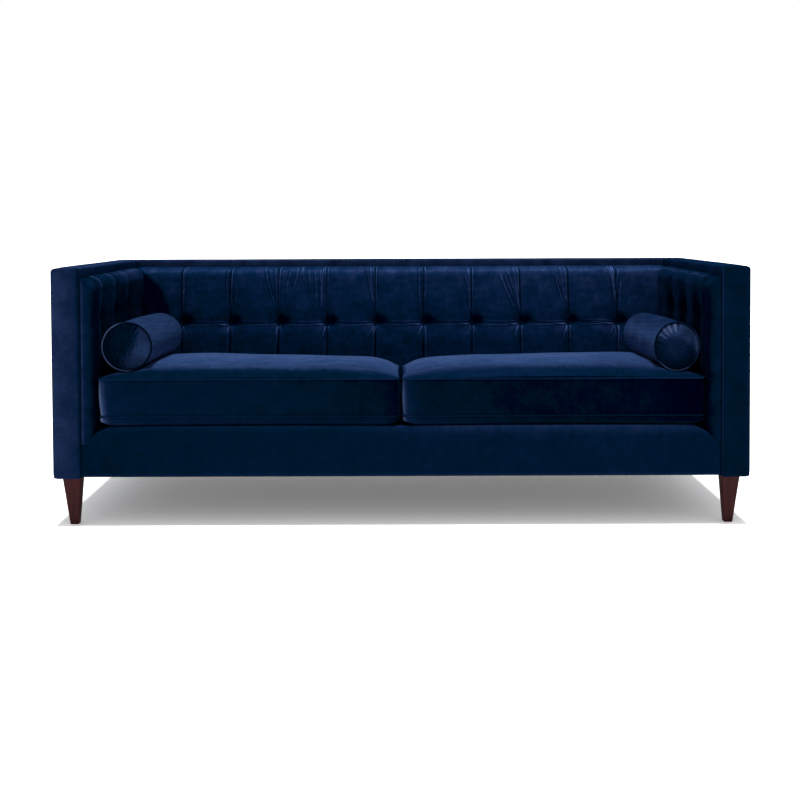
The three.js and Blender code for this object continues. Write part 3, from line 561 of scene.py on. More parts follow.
def back_casing():
    """The outside of the back, between its two mitres."""
    low, high = corners("back_casing")
    reach = np.array([CASING_ROUND * 2, 0, 0])
    points, faces = soft_box(low - reach, high + reach, CASING_ROUND, CASING_PUFF, *CASING_STEPS, seed=40)
    x, y, z = points.T
    mitre = INNER_HALF_WIDTH + np.clip((y - BACK_FACE) / (BACK - BACK_FACE), 0, 1) * ARM_WIDTH - MITRE_GAP
    z -= seam_dip(np.maximum(mitre - np.abs(x), 0)) * smoothstep(TOP - 0.03, TOP, z)
    np.clip(x, -mitre, mitre, out=x)
    z -= BACK_HANG * smoothstep(CASING_FOOT + FOOT_EDGE, CASING_FOOT, z)

    # Painted light and shade by which way each face turns: the front band lightest, with a painted highlight
    # at its top edge, then the top, then the rear
    def lay(points, normals):
        x, y, z = points.T
        _, ny, nz = normals.T
        band = 0.66 + 0.08 * ripple(x, z, 41, 0.04) + 0.10 * smoothstep(TOP - 0.006, TOP, z)
        top = 0.45 + 0.12 * ripple(x, y, 42, 0.05)
        rear = 0.36 + 0.05 * ripple(x, z, 43, 0.16, 28)
        front = smoothstep(-0.2, -0.6, ny)
        return front * band + (1 - front) * np.where(nz > 0.5, top, rear)

    piece = upholster("back_outside", points, faces, OUTSIDE_VELVET, seam=WELD, extra=lay)
    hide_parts("back_casing")


for side in SIDE_WORD:
    arm_casing(side)
back_casing()


# Front rail: a recessed face under a rolled lip that slopes down to both arms

RAIL_LIP = 0.014
RAIL_FACE_ROWS = 40
# The rail's lower edge: how far behind the face and above the foot its points lie
RAIL_FOOT = [(0.012, 0.0), (0.004, 0.0012), (0.0012, 0.004), (0.0, 0.010)]
SHOULDER_WIDTH = 0.093
SHOULDER_DROP = 0.051
SHOULDER_BEND = 0.67
# The nap and painted light of the rail from its left to its right
RAIL_NAP_AND_LIGHT = ([-0.98, -0.85, -0.5, 0.0, 0.7, 0.98], [0.26, 0.285, 0.325, 0.345, 0.37, 0.34])


def front_rail():
    low, high = corners("front_rail_casing")
    foot, face, rear, end = low[2], low[1], high[1], high[0]
    across = spread(-end, end, step=0.008, fine_places=(-end, end), fine_step=0.003, reach=0.16)
    t = np.linspace(0, 1, 200)
    curve_x = 2 * t * (1 - t) * SHOULDER_WIDTH * SHOULDER_BEND + t * t * SHOULDER_WIDTH
    curve_z = (1 - t) ** 2 * SHOULDER_DROP
    tops = high[2] - np.interp(end - np.abs(across), curve_x, curve_z, right=0)
    rings = []
    for x, top in zip(across, tops):
        ring = [(x, rear, foot), (x, (face + rear) / 2, foot)]
        ring += [(x, face + dy, foot + dz) for dy, dz in RAIL_FOOT]
        start, crest = foot + RAIL_LIP, top - RAIL_LIP
        for i in range(RAIL_FACE_ROWS):
            z = start + (crest - start) * i / (RAIL_FACE_ROWS - 1)
            wave = 0.0005 * float(ripple(x, z, 51, 0.15))
            ring.append((x, face - 0.0002 + wave, z))
        for i in range(1, 13):
            angle = i / 12 * math.pi / 2
            ring.append((x, face + RAIL_LIP - RAIL_LIP * math.cos(angle), crest + RAIL_LIP * math.sin(angle)))
        ring.append((x, rear, top))
        rings.append(ring)
    points, faces = lofted(rings)

    # Painted highlight along the lip towards the right and along the foot of the rail
    def lay(points, normals):
        x, _, z = points.T
        below = high[2] - z
        nap = np.interp(x, *RAIL_NAP_AND_LIGHT) + 0.15 * smoothstep(-0.35, 0.25, x) * smoothstep(0.034, 0.010, below)
        return nap + 0.14 * smoothstep(0.012, 0.005, z - foot)

    piece = upholster("front_rail_cover", points, faces, RAIL_VELVET, seam=WELD, up=0.05, up_from=0.62,
                      up_to=0.95, extra=lay)
    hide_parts("front_rail_casing")


front_rail()


# Tufted pads

class Tufting:
    """A pad's tufting as a height over its face: u runs along the pad, t up its face."""

    # How wide and how high each kind of fold is, and how far from a button's middle its fan begins
    PLEAT_WIDTH, PLEAT_HEIGHT = 0.0020, 0.0022
    CREASE_WIDTH, CREASE_HEIGHT = 0.0020, 0.0012
    SLANT_WIDTH, SLANT_HEIGHT = 0.0016, 0.0014
    FAN_WIDTH, FAN_START = 0.0028, 0.013
    # How far up and down from a row its sunken band reaches
    ROW_REACH = 0.045

    def __init__(self, columns, rows, top, depth, groove, hollow, seed):
        self.columns = columns
        self.rows = rows
        self.top = top
        self.depth = depth
        self.groove = groove
        self.hollow = hollow
        self.random = np.random.default_rng(seed)
        self.folds = []

    def fold(self, start, end, width, height, bend=0.0, start_share=1.0, end_share=0.0, light=0.45):
        """A soft ridge with a groove beside it, from start to end, fading from start_share to end_share;
        light is the share of painted highlight on the ridge and painted shade in the groove.
        """
        self.folds.append((np.array(start), np.array(end), width, height, bend, start_share, end_share,
                           light))

    def pleat(self, column, low, high, lean=0.0, gap=0.0062):
        """The two lips of a pleat, which close in on a button at low and open a little towards high."""
        bend = self.random.uniform(-0.0035, 0.0035)
        for side in (-1, 1):
            # The right lip of each pleat gets more painted light than the left
            light = self.random.uniform(0.06, 0.26) if side < 0 else self.random.uniform(0.26, 0.44)
            self.fold((column + side * gap * 0.22, low), (column + lean + side * gap, high),
                      self.PLEAT_WIDTH, side * self.PLEAT_HEIGHT, bend + self.random.uniform(-0.001, 0.001),
                      start_share=0.7, end_share=0.9, light=light)

    def fan(self, column, row, angles, lengths, height=0.0022, light=0.3):
        """Short folds spreading from a button."""
        for angle, length in zip(angles, lengths):
            direction = np.array([math.sin(math.radians(angle)), math.cos(math.radians(angle))])
            start = np.array([column, row]) + direction * self.FAN_START
            self.fold(start, start + direction * length, self.FAN_WIDTH, height,
                      self.random.uniform(-0.004, 0.004), light=light)

    def creases(self, row, left, right):
        """Thin creases pulled between two neighbouring buttons."""
        for rise, light in ((0.0088, 0.22), (-0.0072, 0.27)):
            start, end = left + self.random.uniform(0.026, 0.046), right - self.random.uniform(0.003, 0.014)
            self.fold((start, row + rise * 1.1), (end, row + rise * 0.6), self.CREASE_WIDTH,
                      self.CREASE_HEIGHT, self.random.uniform(-0.002, 0.002), start_share=0.6, end_share=1.0,
                      light=light)
        if self.random.uniform() < 0.7:
            middle = (left + right) / 2 - self.random.uniform(0.0, 0.02)
            self.fold((middle, row + 0.0045), (right - 0.012, row - 0.006), self.SLANT_WIDTH,
                      self.SLANT_HEIGHT, end_share=0.8, light=0.26)

    def relief(self, u, t):
        """The height at each point, and how much painted light or shade it gets."""
        columns, rows = np.array(self.columns), np.array(self.rows)
        du = np.abs(u[..., None] - columns).min(-1)
        dt = np.abs(t[..., None] - rows).min(-1)
        gap = (columns[1] - columns[0]) / 2
        to_top = smoothstep(self.top, self.rows[-1], t)
        valley = np.clip(1 - du / gap, 0, 1) ** 2.2 * self.depth * (0.35 + 0.65 * to_top)
        level = np.clip(1 - dt / self.ROW_REACH, 0, 1) ** 2.0 * self.depth * 0.22
        height = -np.maximum(valley, level) - 0.35 * np.minimum(valley, level)
        seam = hill(du, 0.0028) * (0.75 + 0.25 * to_top)
        height -= self.groove * seam
        # Painted shade along the pleat seams and along the rows of buttons
        nap = -0.24 * seam - 0.06 * hill(dt, 0.0060)
        for column in self.columns:
            for row in self.rows:
                self.dimple(u - column, t - row, height, nap)
        for fold in self.folds:
            self.raise_fold(u, t, height, nap, *fold)
        return height, nap

    def dimple(self, du, dt, height, nap):
        """Sinks the cloth round one button, with painted shade above and beside it and painted light under
        it.
        """
        near = np.hypot(du, dt)
        height -= self.hollow * np.exp(-near / 0.015)
        above = np.hypot((du - 0.014) / 1.1, dt - 0.014)
        beside = np.hypot((du - 0.033) / 1.7, dt - 0.011)
        height -= 0.25 * self.hollow * hill(above, 0.016)
        nap -= 0.42 * hill(above, 0.017) + 0.24 * hill(beside, 0.013) + 0.10 * np.exp(-near / 0.02)
        nap += 0.26 * hill(np.hypot((du + 0.011) / 1.5, dt + 0.007), 0.010)
        nap += 0.14 * hill(np.hypot((du + 0.024) / 1.6, dt + 0.022), 0.018)

    def raise_fold(self, u, t, height, nap, start, end, width, ridge, bend, start_share, end_share, light):
        """Raises one fold, within reach of it."""
        along = end - start
        length = np.linalg.norm(along)
        along = along / length
        reach = 6 * width + abs(bend)
        near = ((u > min(start[0], end[0]) - reach) & (u < max(start[0], end[0]) + reach)
                & (t > min(start[1], end[1]) - reach) & (t < max(start[1], end[1]) + reach))
        pu, pt = u[near] - start[0], t[near] - start[1]
        share = (pu * along[0] + pt * along[1]) / length
        inside = np.clip(share, 0, 1)
        across = -pu * along[1] + pt * along[0] - bend * 4 * inside * (1 - inside)
        fade = start_share + (end_share - start_share) * inside
        fade *= smoothstep(-0.04, 0.05, share) * smoothstep(1.03, 0.92, share)
        side = 1 if ridge > 0 else -1
        crest, trough = hill(across, width), hill(across + side * 1.8 * width, 1.1 * width)
        height[near] += abs(ridge) * fade * (crest - 0.8 * trough)
        # Painted highlight on the ridge and painted shade in its groove
        nap[near] += light * fade * (crest - 0.4 * trough)


def pad_mesh(face, rear):
    """Points and faces of a pad: its tufted face, and a plain back that closes it."""
    rows, columns = face.shape[:2]
    points = face.reshape(-1, 3)
    faces = strip_faces(rows, columns)
    number = np.arange(rows * columns).reshape(rows, columns)
    edge = [*number[0, :-1], *number[:-1, -1], *number[-1, :0:-1], *number[:0:-1, 0]]
    rim = rear(points[edge])
    start, count = len(points), len(edge)
    points = np.concatenate([points, rim, rim.mean(0, keepdims=True)])
    for i, here in enumerate(edge):
        j = (i + 1) % count
        faces.append([int(edge[j]), int(here), start + i, start + j])
        faces.append([start + i, start + count, start + j])
    return points, faces


BUTTON_RADIUS = 0.0112
BUTTON_PROUD = 0.0045
# From a button's tucked edge to its middle: shares of the radius out from its axis and up it
BUTTON_PROFILE = [(0.80, -0.30), (0.97, -0.18), (1.0, -0.02), (0.96, 0.14), (0.84, 0.28), (0.62, 0.40),
                  (0.34, 0.465), (0.12, 0.48)]


def covered_button(name, centre, normal, node, cloth, lay):
    """A cloth-covered button: a low dome with a tucked edge, slightly uneven."""
    normal = np.array(normal) / np.linalg.norm(normal)
    side = np.cross(normal, (0, 0, 1))
    side /= np.linalg.norm(side)
    up = np.cross(side, normal)
    angle = np.linspace(0, 2 * np.pi, 36, endpoint=False)
    rings = []
    seed = sum(ord(letter) for letter in name)
    for share, rise in BUTTON_PROFILE:
        tuck = 0.012 * np.sin(angle * 9 + seed) * (share > 0.9)
        out = BUTTON_RADIUS * share * (1 + tuck)
        ring = centre + side * (out * np.cos(angle))[:, None] + up * (out * np.sin(angle))[:, None]
        uneven = 0.0003 * np.sin(angle * 2 + seed)[:, None] * share
        rings.append(ring + normal * (BUTTON_RADIUS * rise + uneven))
    points, faces = lofted(rings)
    # Painted light on the button's upward face and crest, painted shade in its tuck
    piece = upholster(name, points, faces, cloth, seam=FINE_WELD, base=lay, up=0.3, up_from=0.3, up_to=0.9,
                      crest=0.1, hollow=0.2)
    if node:
        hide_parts(node)


def button_rows(tufts, place, normal, piece_name, node_name, cloth, lay):
    """A button wherever a column meets a row. The lower row stands for no CAD nodes."""
    for row_name, row in (("", tufts.rows[1]), ("lower_", tufts.rows[0])):
        for i, column in enumerate(tufts.columns):
            dip = tufts.relief(np.array([[column]]), np.array([[row]]))[0][0, 0]
            centre = place(np.array(column), np.array(row), dip + BUTTON_PROUD)
            node = None if row_name else node_name.format(i + 1)
            covered_button(piece_name.format(row_name, i + 1), centre, normal, node, cloth, lay)


# Inside back

BACK_LOW, BACK_HIGH = corners("back_pad")
BACK_END, BACK_REAR_TOP, BACK_TOP = BACK_HIGH
BACK_FOOT = BACK_LOW[2]
BACK_THICKNESS = 0.072
BACK_ROUND = 0.034
BACK_STRAIGHT = BACK_TOP - BACK_ROUND - BACK_FOOT
BACK_REAR_FOOT = BACK_LOW[1] + BACK_THICKNESS
BACK_SLOPE = (BACK_REAR_TOP - BACK_REAR_FOOT) / (BACK_TOP - BACK_FOOT)
BACK_COLUMNS = [middle_of(f"back_button_{i + 1}", 0) for i in range(10)]
BACK_BUTTON_ROW = middle_of("back_button_1", 2)
BACK_LOWER_ROW = BACK_FOOT + 0.0415

# The folds that run up from each button of the inside back: how far from its column in millimetres and what
# share of the way from the button up to the top edge, first at their upper end and then at their lower
BACK_FOLDS = [
    [(5.5, 0.94, 1.5, 0.30)],
    [(-6.6, 0.94, -10.6, 0.34), (9.9, 0.94, 5.5, 0.30), (20.5, 0.61, 18.0, 0.34)],
    [(-48.0, 0.96, -15.4, 0.34), (-31.5, 0.96, -11.4, 0.45), (-11.4, 0.99, -3.0, 0.30),
     (50.0, 0.94, 30.0, 0.49), (71.0, 0.96, 54.0, 0.57), (87.0, 0.99, 79.0, 0.76), (91.0, 0.99, 95.0, 0.72)],
    [(-68.0, 0.92, -60.0, 0.61), (-43.0, 0.88, -39.0, 0.38), (-23.0, 0.92, -19.0, 0.26),
     (-10.6, 0.99, -19.0, 0.26)],
    [(-27.0, 0.96, -7.0, 0.34), (-15.0, 0.99, -3.0, 0.30)],
    [(-12.0, 1.0, -9.0, 0.12), (8.0, 0.96, 6.0, 0.40)],
    [(-13.0, 1.0, -4.5, 0.20), (-22.0, 0.80, -9.0, 0.25)],
    [(-71.0, 0.80, -23.0, 0.25), (-54.0, 0.80, -13.0, 0.32), (-43.0, 0.84, -5.0, 0.25),
     (-25.0, 0.99, 1.5, 0.16)],
    [(-47.0, 0.80, -19.0, 0.33), (-39.0, 0.78, -12.0, 0.36), (-28.0, 0.98, -6.0, 0.36)],
    [(-30.0, 1.0, -9.0, 0.32), (-18.0, 1.0, 4.0, 0.24), (8.5, 0.87, 0.0, 0.48), (17.0, 0.69, 13.0, 0.24)],
]
# How far each pleat of the inside back wanders to the side on its way up, in millimetres
BACK_PLEAT_LEAN = [12, 9, 4, -2, 0, 1, -2, -16, -19, -18]
# The nap and painted light of the inside back by height, and how much lighter or darker it is painted from
# its left to its right
BACK_NAP_AND_LIGHT = ([0.48, 0.55, 0.59, 0.664, 0.719, 0.750, 0.765], [0.31, 0.42, 0.36, 0.42, 0.47, 0.50, 0.465])
BACK_LIGHT_SHIFT = ([-0.60, -0.25, 0.10, 0.42], [-0.05, 0.0, -0.01, 0.055])
# Where the left arm's shade ends on the inside back, by height
SHADE_EDGE = ([0.48, 0.597, 0.626, 0.662, 0.699, 0.735, 0.752, 0.765],
              [-0.835, -0.842, -0.852, -0.865, -0.887, -0.926, -0.955, -0.975])


def back_depth(z):
    """How far back the pad's rear face lies at a height."""
    return BACK_REAR_FOOT + (z - BACK_FOOT) * BACK_SLOPE


def back_place(u, t, height):
    """Points of the inside back: up the reclined face, then over the rounded top to the casing."""
    angle = np.clip((t - BACK_STRAIGHT) / BACK_ROUND, 0, np.pi / 2)
    beyond = np.clip(t - BACK_STRAIGHT - BACK_ROUND * np.pi / 2, 0, None)
    z = BACK_FOOT + np.minimum(t, BACK_STRAIGHT) + BACK_ROUND * np.sin(angle)
    y = back_depth(z) - BACK_THICKNESS + BACK_ROUND * (1 - np.cos(angle)) + beyond
    return np.stack([u, y - height * np.cos(angle), z + height * np.sin(angle)], axis=-1)


def back_rear(edge):
    x, _, z = edge.T
    return np.stack([x, back_depth(z), np.minimum(z, BACK_TOP - 0.001)], axis=-1)


def inside_back():
    over = BACK_ROUND * math.pi / 2
    end = BACK_STRAIGHT + over + 0.030
    rows = [BACK_LOWER_ROW - BACK_FOOT, BACK_BUTTON_ROW - BACK_FOOT]
    rise = BACK_STRAIGHT + over * 0.85 - rows[1]
    tufts = Tufting(BACK_COLUMNS, rows, BACK_STRAIGHT + over, depth=0.013, groove=0.0065, hollow=0.017,
                    seed=11)
    random = tufts.random
    for column, lean, folds in zip(BACK_COLUMNS, BACK_PLEAT_LEAN, BACK_FOLDS):
        tufts.pleat(column, rows[1] + 0.012, end - 0.004, lean * MM + random.uniform(-0.001, 0.001))
        shift = -0.015 if column < 0 else 0.007
        tufts.pleat(column + shift, rows[0], rows[1] - 0.012, -0.7 * shift, gap=0.0050)
        for high_offset, high, low_offset, low in folds:
            tufts.fold((column + high_offset * MM, rows[1] + rise * high),
                       (column + low_offset * MM, rows[1] + rise * low), width=0.0030, height=0.0026,
                       bend=random.uniform(-0.005, 0.005), end_share=0.75, light=0.22)
        below = np.linspace(160, 207, 5) + random.uniform(-5, 5, 5)
        tufts.fan(column, rows[1], below, random.uniform(0.026, 0.078, 5), height=0.0019, light=0.25)
        tufts.fan(column, rows[1], random.uniform(-40, 40, 3), random.uniform(0.015, 0.035, 3), light=0.2)
        tufts.fan(column, rows[0], random.uniform(-40, 40, 4), random.uniform(0.03, 0.07, 4))
    for left, right in zip(BACK_COLUMNS, BACK_COLUMNS[1:]):
        for row in rows:
            tufts.creases(row, left, right)
    u = spread(-BACK_END, BACK_END, step=0.0020, fine_places=BACK_COLUMNS, fine_step=0.0012, reach=0.016)
    t = spread(0.0, end, step=0.0024, fine_places=rows, fine_step=0.0012, reach=0.014)
    uu, tt = np.meshgrid(u, t)
    height, nap = tufts.relief(uu, tt)
    height += 0.0009 * ripple(uu, tt, 12, 0.05) + 0.0004 * ripple(uu, tt, 13, 0.018)
    points, faces = pad_mesh(back_place(uu, tt, height * smoothstep(end, end - 0.02, tt)), back_rear)
    count = nap.size

    def lay(points, normals):
        more = np.zeros(len(points))
        x, _, z = points[:count].T
        up = normals[:count, 2]
        # Painted light by height and from left to right, the painted shadow of the left arm, painted shade
        # towards the right end, random cloud, and painted light on the rounded top
        tone = np.interp(z, *BACK_NAP_AND_LIGHT) + np.interp(x, *BACK_LIGHT_SHIFT)
        shade = np.interp(z, *SHADE_EDGE) + 0.003 * ripple(z, x, 16, 0.02)
        tone = tone * smoothstep(shade - 0.014, shade + 0.014, x) * smoothstep(0.985, 0.955, x)
        cloud = 0.06 * ripple(x, z, 14, 0.04) + 0.05 * ripple(x, z, 15, 0.014)
        edge = 0.13 * smoothstep(0.45, 0.65, up) * smoothstep(0.92, 0.75, up)
        more[:count] = nap.ravel() + tone + cloud + edge
        return more

    piece = upholster("inside_back", points, faces, BACK_VELVET, crest=0.06, hollow=0.12, extra=lay)
    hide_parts("back_pad")
    lean = math.atan(BACK_SLOPE)
    button_rows(tufts, back_place, (0, -math.cos(lean), math.sin(lean)), "back_{}tuft_{}", "back_button_{}",
                cloth=BACK_VELVET, lay=0.18)


inside_back()


# Inside arms, set out on the right arm and mirrored for the left

ARM_LOW, ARM_HIGH = corners("arm_pad_right")
ARM_FACE, ARM_FRONT, ARM_FOOT = ARM_LOW
ARM_REAR, ARM_TOP = ARM_HIGH[1:]
ARM_ROUND = 0.040
ARM_CORNER = 0.016
ARM_WALL = INNER_HALF_WIDTH - 0.0004
ARM_DEPTH = ARM_WALL - ARM_FACE
ARM_STRIP = ARM_DEPTH - ARM_CORNER
ARM_TURN = ARM_CORNER * math.pi / 2
ARM_STRAIGHT = ARM_TOP - ARM_ROUND - ARM_FOOT
ARM_COLUMNS = [middle_of(f"arm_button_{i + 1}_right", 1) for i in range(3)]
ARM_BUTTON_ROW = middle_of("arm_button_1_right", 2)
ARM_LOWER_ROW = ARM_BUTTON_ROW - 0.195

# The nap and painted light round each inside arm's front strip, by millimetres from the casing, and along its
# inner face, darkest in its painted shade, by millimetres along the sofa's depth
STRIP_NAP_AND_LIGHT = {
    -1: ([0, 1.5, 4, 7, 9, 12, 18, 24, 30, 34, 37],
         [0.10, 0.64, 0.70, 0.66, 0.50, 0.45, 0.39, 0.32, 0.24, 0.17, 0.08]),
    1: ([0, 2, 8, 14, 20, 26, 30, 34, 37], [0.10, 0.31, 0.31, 0.29, 0.24, 0.21, 0.18, 0.13, 0.08]),
}
ARM_NAP_AND_LIGHT = {
    -1: ([-424, -400, -345, -325, -305, -275, -245, -200, -150, -120, -80, -20, 60, 200],
         [0.08, 0.04, 0.04, 0.24, 0.42, 0.42, 0.30, 0.24, 0.38, 0.40, 0.32, 0.42, 0.52, 0.50]),
    1: ([-424, -400, -335, -318, -285, -235, -200, -170, -100, -65, 30, 200],
        [0.08, 0.07, 0.07, 0.24, 0.40, 0.34, 0.40, 0.44, 0.38, 0.38, 0.42, 0.44]),
}


def arm_place_for(side):
    """Where a point of an inside arm is: round its front edge, back along its face, over its rounded top."""

    def place(u, t, height):
        angle = np.clip((t - ARM_STRAIGHT) / ARM_ROUND, 0, np.pi / 2)
        z = ARM_FOOT + np.minimum(t, ARM_STRAIGHT) + ARM_ROUND * np.sin(angle)
        full = ARM_DEPTH - ARM_ROUND * (1 - np.cos(angle))
        corner = np.minimum(ARM_CORNER, full)
        bend = np.clip(u / ARM_TURN, 0, 1) * np.pi / 2
        on_front = np.clip(-u / ARM_STRIP, 0, 1)
        out = np.where(u < 0, (full - corner) * (1 - on_front), full - corner + corner * np.sin(bend))
        y = ARM_FRONT + np.where(u < 0, 0.0, corner * (1 - np.cos(bend))) + np.clip(u - ARM_TURN, 0, None)
        x = ARM_WALL - out - height * (np.sin(bend) * np.cos(angle))
        y = y - height * (np.cos(bend) * (u < ARM_TURN)) * np.cos(angle)
        return np.stack([side * x, y, z + height * np.sin(angle)], axis=-1)

    return place


def inside_arm(side):
    word = SIDE_WORD[side]
    place = arm_place_for(side)
    end = ARM_STRAIGHT + ARM_ROUND * math.pi / 2
    columns = [y - ARM_FRONT - ARM_CORNER + ARM_TURN for y in ARM_COLUMNS]
    rows = [ARM_LOWER_ROW - ARM_FOOT, ARM_BUTTON_ROW - ARM_FOOT]
    tufts = Tufting(columns, rows, end, depth=0.017, groove=0.006, hollow=0.016, seed=31 + side)
    random = tufts.random
    for column in columns:
        tufts.pleat(column, rows[1] + 0.010, end, random.uniform(-0.003, 0.003))
        tufts.pleat(column, rows[0], rows[1] - 0.010)
        tufts.fan(column, rows[1], random.uniform(-30, 30, 3), random.uniform(0.05, 0.09, 3))
        tufts.fan(column, rows[1], random.uniform(150, 210, 4), random.uniform(0.02, 0.05, 4))
    stops = [-0.03, *columns, columns[-1] + 0.16]
    for left, right in zip(stops, stops[1:]):
        for row in rows:
            tufts.creases(row, left, right)
    rear = ARM_REAR - ARM_FRONT - ARM_CORNER + ARM_TURN
    corner_and_columns = [0.0, ARM_TURN, *columns]
    u = spread(-ARM_STRIP, rear, step=0.0034, fine_places=corner_and_columns, fine_step=0.0015, reach=0.014)
    t = spread(0.0, end, step=0.0034, fine_places=rows, fine_step=0.0015, reach=0.012)
    uu, tt = np.meshgrid(u, t)
    height, nap = tufts.relief(uu, tt)
    height += 0.0009 * ripple(uu, tt, 33 + side, 0.05)
    height *= smoothstep(end, end - 0.02, tt) * smoothstep(u[0], u[0] + 0.012, uu)
    points = place(uu, tt, height)
    # The pad ends in the inside back, which reclines
    rear_limit = back_depth(points[..., 2]) - BACK_THICKNESS + 0.012
    share = (points[..., 1] - ARM_FRONT) / (ARM_REAR - ARM_FRONT)
    points[..., 1] = ARM_FRONT + share * (np.minimum(rear_limit, ARM_REAR) - ARM_FRONT)
    grid, faces = pad_mesh(points, lambda edge: edge * [0, 1, 1] + [side * ARM_WALL, 0, 0])

    turned = ARM_CORNER * np.sin(np.clip(uu / ARM_TURN, 0, 1) * np.pi / 2)
    from_wall = np.where(uu < 0, uu + ARM_STRIP, ARM_STRIP + turned)
    strip = np.interp(from_wall / MM, *STRIP_NAP_AND_LIGHT[side])
    inside = np.interp(points[..., 1] / MM, *ARM_NAP_AND_LIGHT[side])
    tone = strip + (inside - strip) * smoothstep(ARM_TURN * 0.75, ARM_TURN * 1.1, uu)
    # Painted shade on the left arm's face behind its second column, below the rounded top
    if side < 0:
        tone = tone - 0.24 * (smoothstep(columns[1] + 0.01, columns[1] + 0.06, uu)
                              * smoothstep(ARM_STRAIGHT + 0.010, ARM_STRAIGHT - 0.012, tt))
    upper = smoothstep(rows[1] - 0.10, rows[1], tt)
    # Painted highlights along the left arm's channel edges with painted shade behind each column, and painted
    # shade behind each column of the right arm
    for number, column in enumerate(columns):
        if side < 0:
            arch = column - 0.013 - 0.010 * smoothstep(ARM_STRAIGHT - 0.02, end, tt)
            tone = tone + 0.58 * hill(uu - arch, 0.0060) * upper * (1 - 0.2 * number)
            tone = tone - 0.12 * hill(uu - column - 0.012, 0.020)
        else:
            below = smoothstep(ARM_STRAIGHT + 0.03, ARM_STRAIGHT - 0.05, tt)
            tone = tone - 0.30 * hill(uu - column - 0.030, 0.032) * below
    # A painted highlight along the top, painted light near the front, and the relief's painted light and
    # shade
    top_line = hill(tt - ARM_STRAIGHT - ARM_ROUND * 1.05, 0.006) * smoothstep(ARM_TURN, ARM_TURN * 2, uu)
    tone = tone + (0.22 if side > 0 else 0.11) * top_line
    near_front = smoothstep(0.0, ARM_TURN, uu) * smoothstep(ARM_TURN + 0.10, ARM_TURN, uu)
    tone = tone + 0.30 * hill(tt - ARM_STRAIGHT - 0.020, 0.022) * near_front
    tone = tone + 0.05 * ripple(uu, tt, 35 + side, 0.03) + nap * (0.30 if side < 0 else 0.6)

    def lay(points, normals):
        more = np.zeros(len(points))
        more[:tone.size] = tone.ravel()
        return more

    piece = upholster("inside_arm_" + word, grid, faces, ARM_VELVET, up=0.10, up_from=0.25, up_to=0.9,
                      crest=0.06, hollow=0.15, extra=lay)
    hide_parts("arm_pad_" + word)
    button_rows(tufts, place, (-side, 0, 0), "arm_{}tuft_{}_" + word, "arm_button_{}_" + word,
                cloth=ARM_VELVET, lay=0.30)


for side in SIDE_WORD:
    inside_arm(side)


# Bolsters

# Each bolster's half width and half height, and how far its middle is moved out and up inside its CAD roll
BOLSTER_SHAPES = {-1: (0.0778, 0.0760, 0.0015, 0.0010), 1: (0.0704, 0.0757, 0.0088, -0.0038)}
BOLSTER_WELT = 0.0022
BOLSTER_REAR_DROP = 0.012
BOLSTER_END_GAP = 0.0055
BOLSTER_AROUND = 300
# How far the end discs bulge, how far they dip at the piping, how far the piping draws the roll in, and the
# share of its radius that the roll has lost where its rear end begins
DISC_BULGE = 0.010
DISC_DIP = 0.0040
PIPING_PULL = 0.026
REAR_TAPER = 0.20
# The gathers of a bolster's end: how many round the disc, and how strong
GATHERS = ((17, 0.5), (26, 0.6), (33, 0.5), (41, 0.3))
GATHER_DEPTH = {-1: 0.0001, 1: 0.00016}
# The deep folds of the gathered end: at how many degrees round the disc, how deep, how wide in radians, and
# the share of the radius where they begin
DISC_FOLDS = {
    -1: [(66, 0.006, 0.050, 0.62)],
    1: [(86, 0.0046, 0.085, 0.54), (104, 0.0062, 0.100, 0.36), (121, 0.0052, 0.085, 0.38),
        (137, 0.0062, 0.090, 0.42), (153, 0.0056, 0.080, 0.50), (168, 0.0042, 0.065, 0.60),
        (184, 0.0026, 0.060, 0.68), (199, 0.0018, 0.050, 0.76)],
}


def bolster_seat(side):
    """The middle and the half length of a bolster's roll."""
    low, high = corners("bolster_cover_" + SIDE_WORD[side])
    out, up = BOLSTER_SHAPES[side][2:]
    return (low + high) / 2 + np.array([side * out, 0, up]), (high[1] - low[1]) / 2 - BOLSTER_END_GAP


def bolster_drop(y, half_length):
    """How far a bolster's middle line has come down at y from its middle, its rear end lying lower."""
    return BOLSTER_REAR_DROP * y / (2 * half_length)


def turned_from(angle, place):
    return (angle - math.radians(place) + np.pi) % (2 * np.pi) - np.pi


# Painted light on the left bolster's front disc: lit on its lower right, dark on its left, with random cloud
# and speckle
def left_disc_lay(across, rise, cloud, speckle):
    lit = 0.47 * smoothstep(-0.12, 0.42, across * 0.95 - rise * 0.42 + 0.10 * cloud + 0.09 * speckle)
    lit = lit + 0.14 * smoothstep(0.0, 0.6, across) * smoothstep(0.5, 0.0, np.abs(rise + 0.2))
    return lit + 0.08 + 0.07 * speckle * smoothstep(0.3, -0.2, across)


# Painted light on the right bolster's front disc: lit at its upper right, its right edge and along its
# gathers, and lighter in the middle
def right_disc_lay(across, rise, cloud, speckle):
    far = np.hypot(across, rise)
    lit = 0.50 * smoothstep(0.25, 0.85, across * 0.72 + rise * 0.62 + 0.08 * cloud)
    lit = lit + 0.40 * smoothstep(0.70, 0.93, across) * smoothstep(0.9, 0.3, np.abs(rise - 0.05))
    turn = np.degrees(np.arctan2(rise, across))
    fan = smoothstep(80, 100, turn) * smoothstep(172, 150, turn)
    lit = np.maximum(lit, 0.34 * fan * smoothstep(0.42, 0.75, far) + 0.57 * smoothstep(0.2, 0.85, rise))
    return lit + 0.14 + 0.24 * smoothstep(0.85, 0.3, far) + 0.06 * speckle * smoothstep(0.95, 0.7, far)


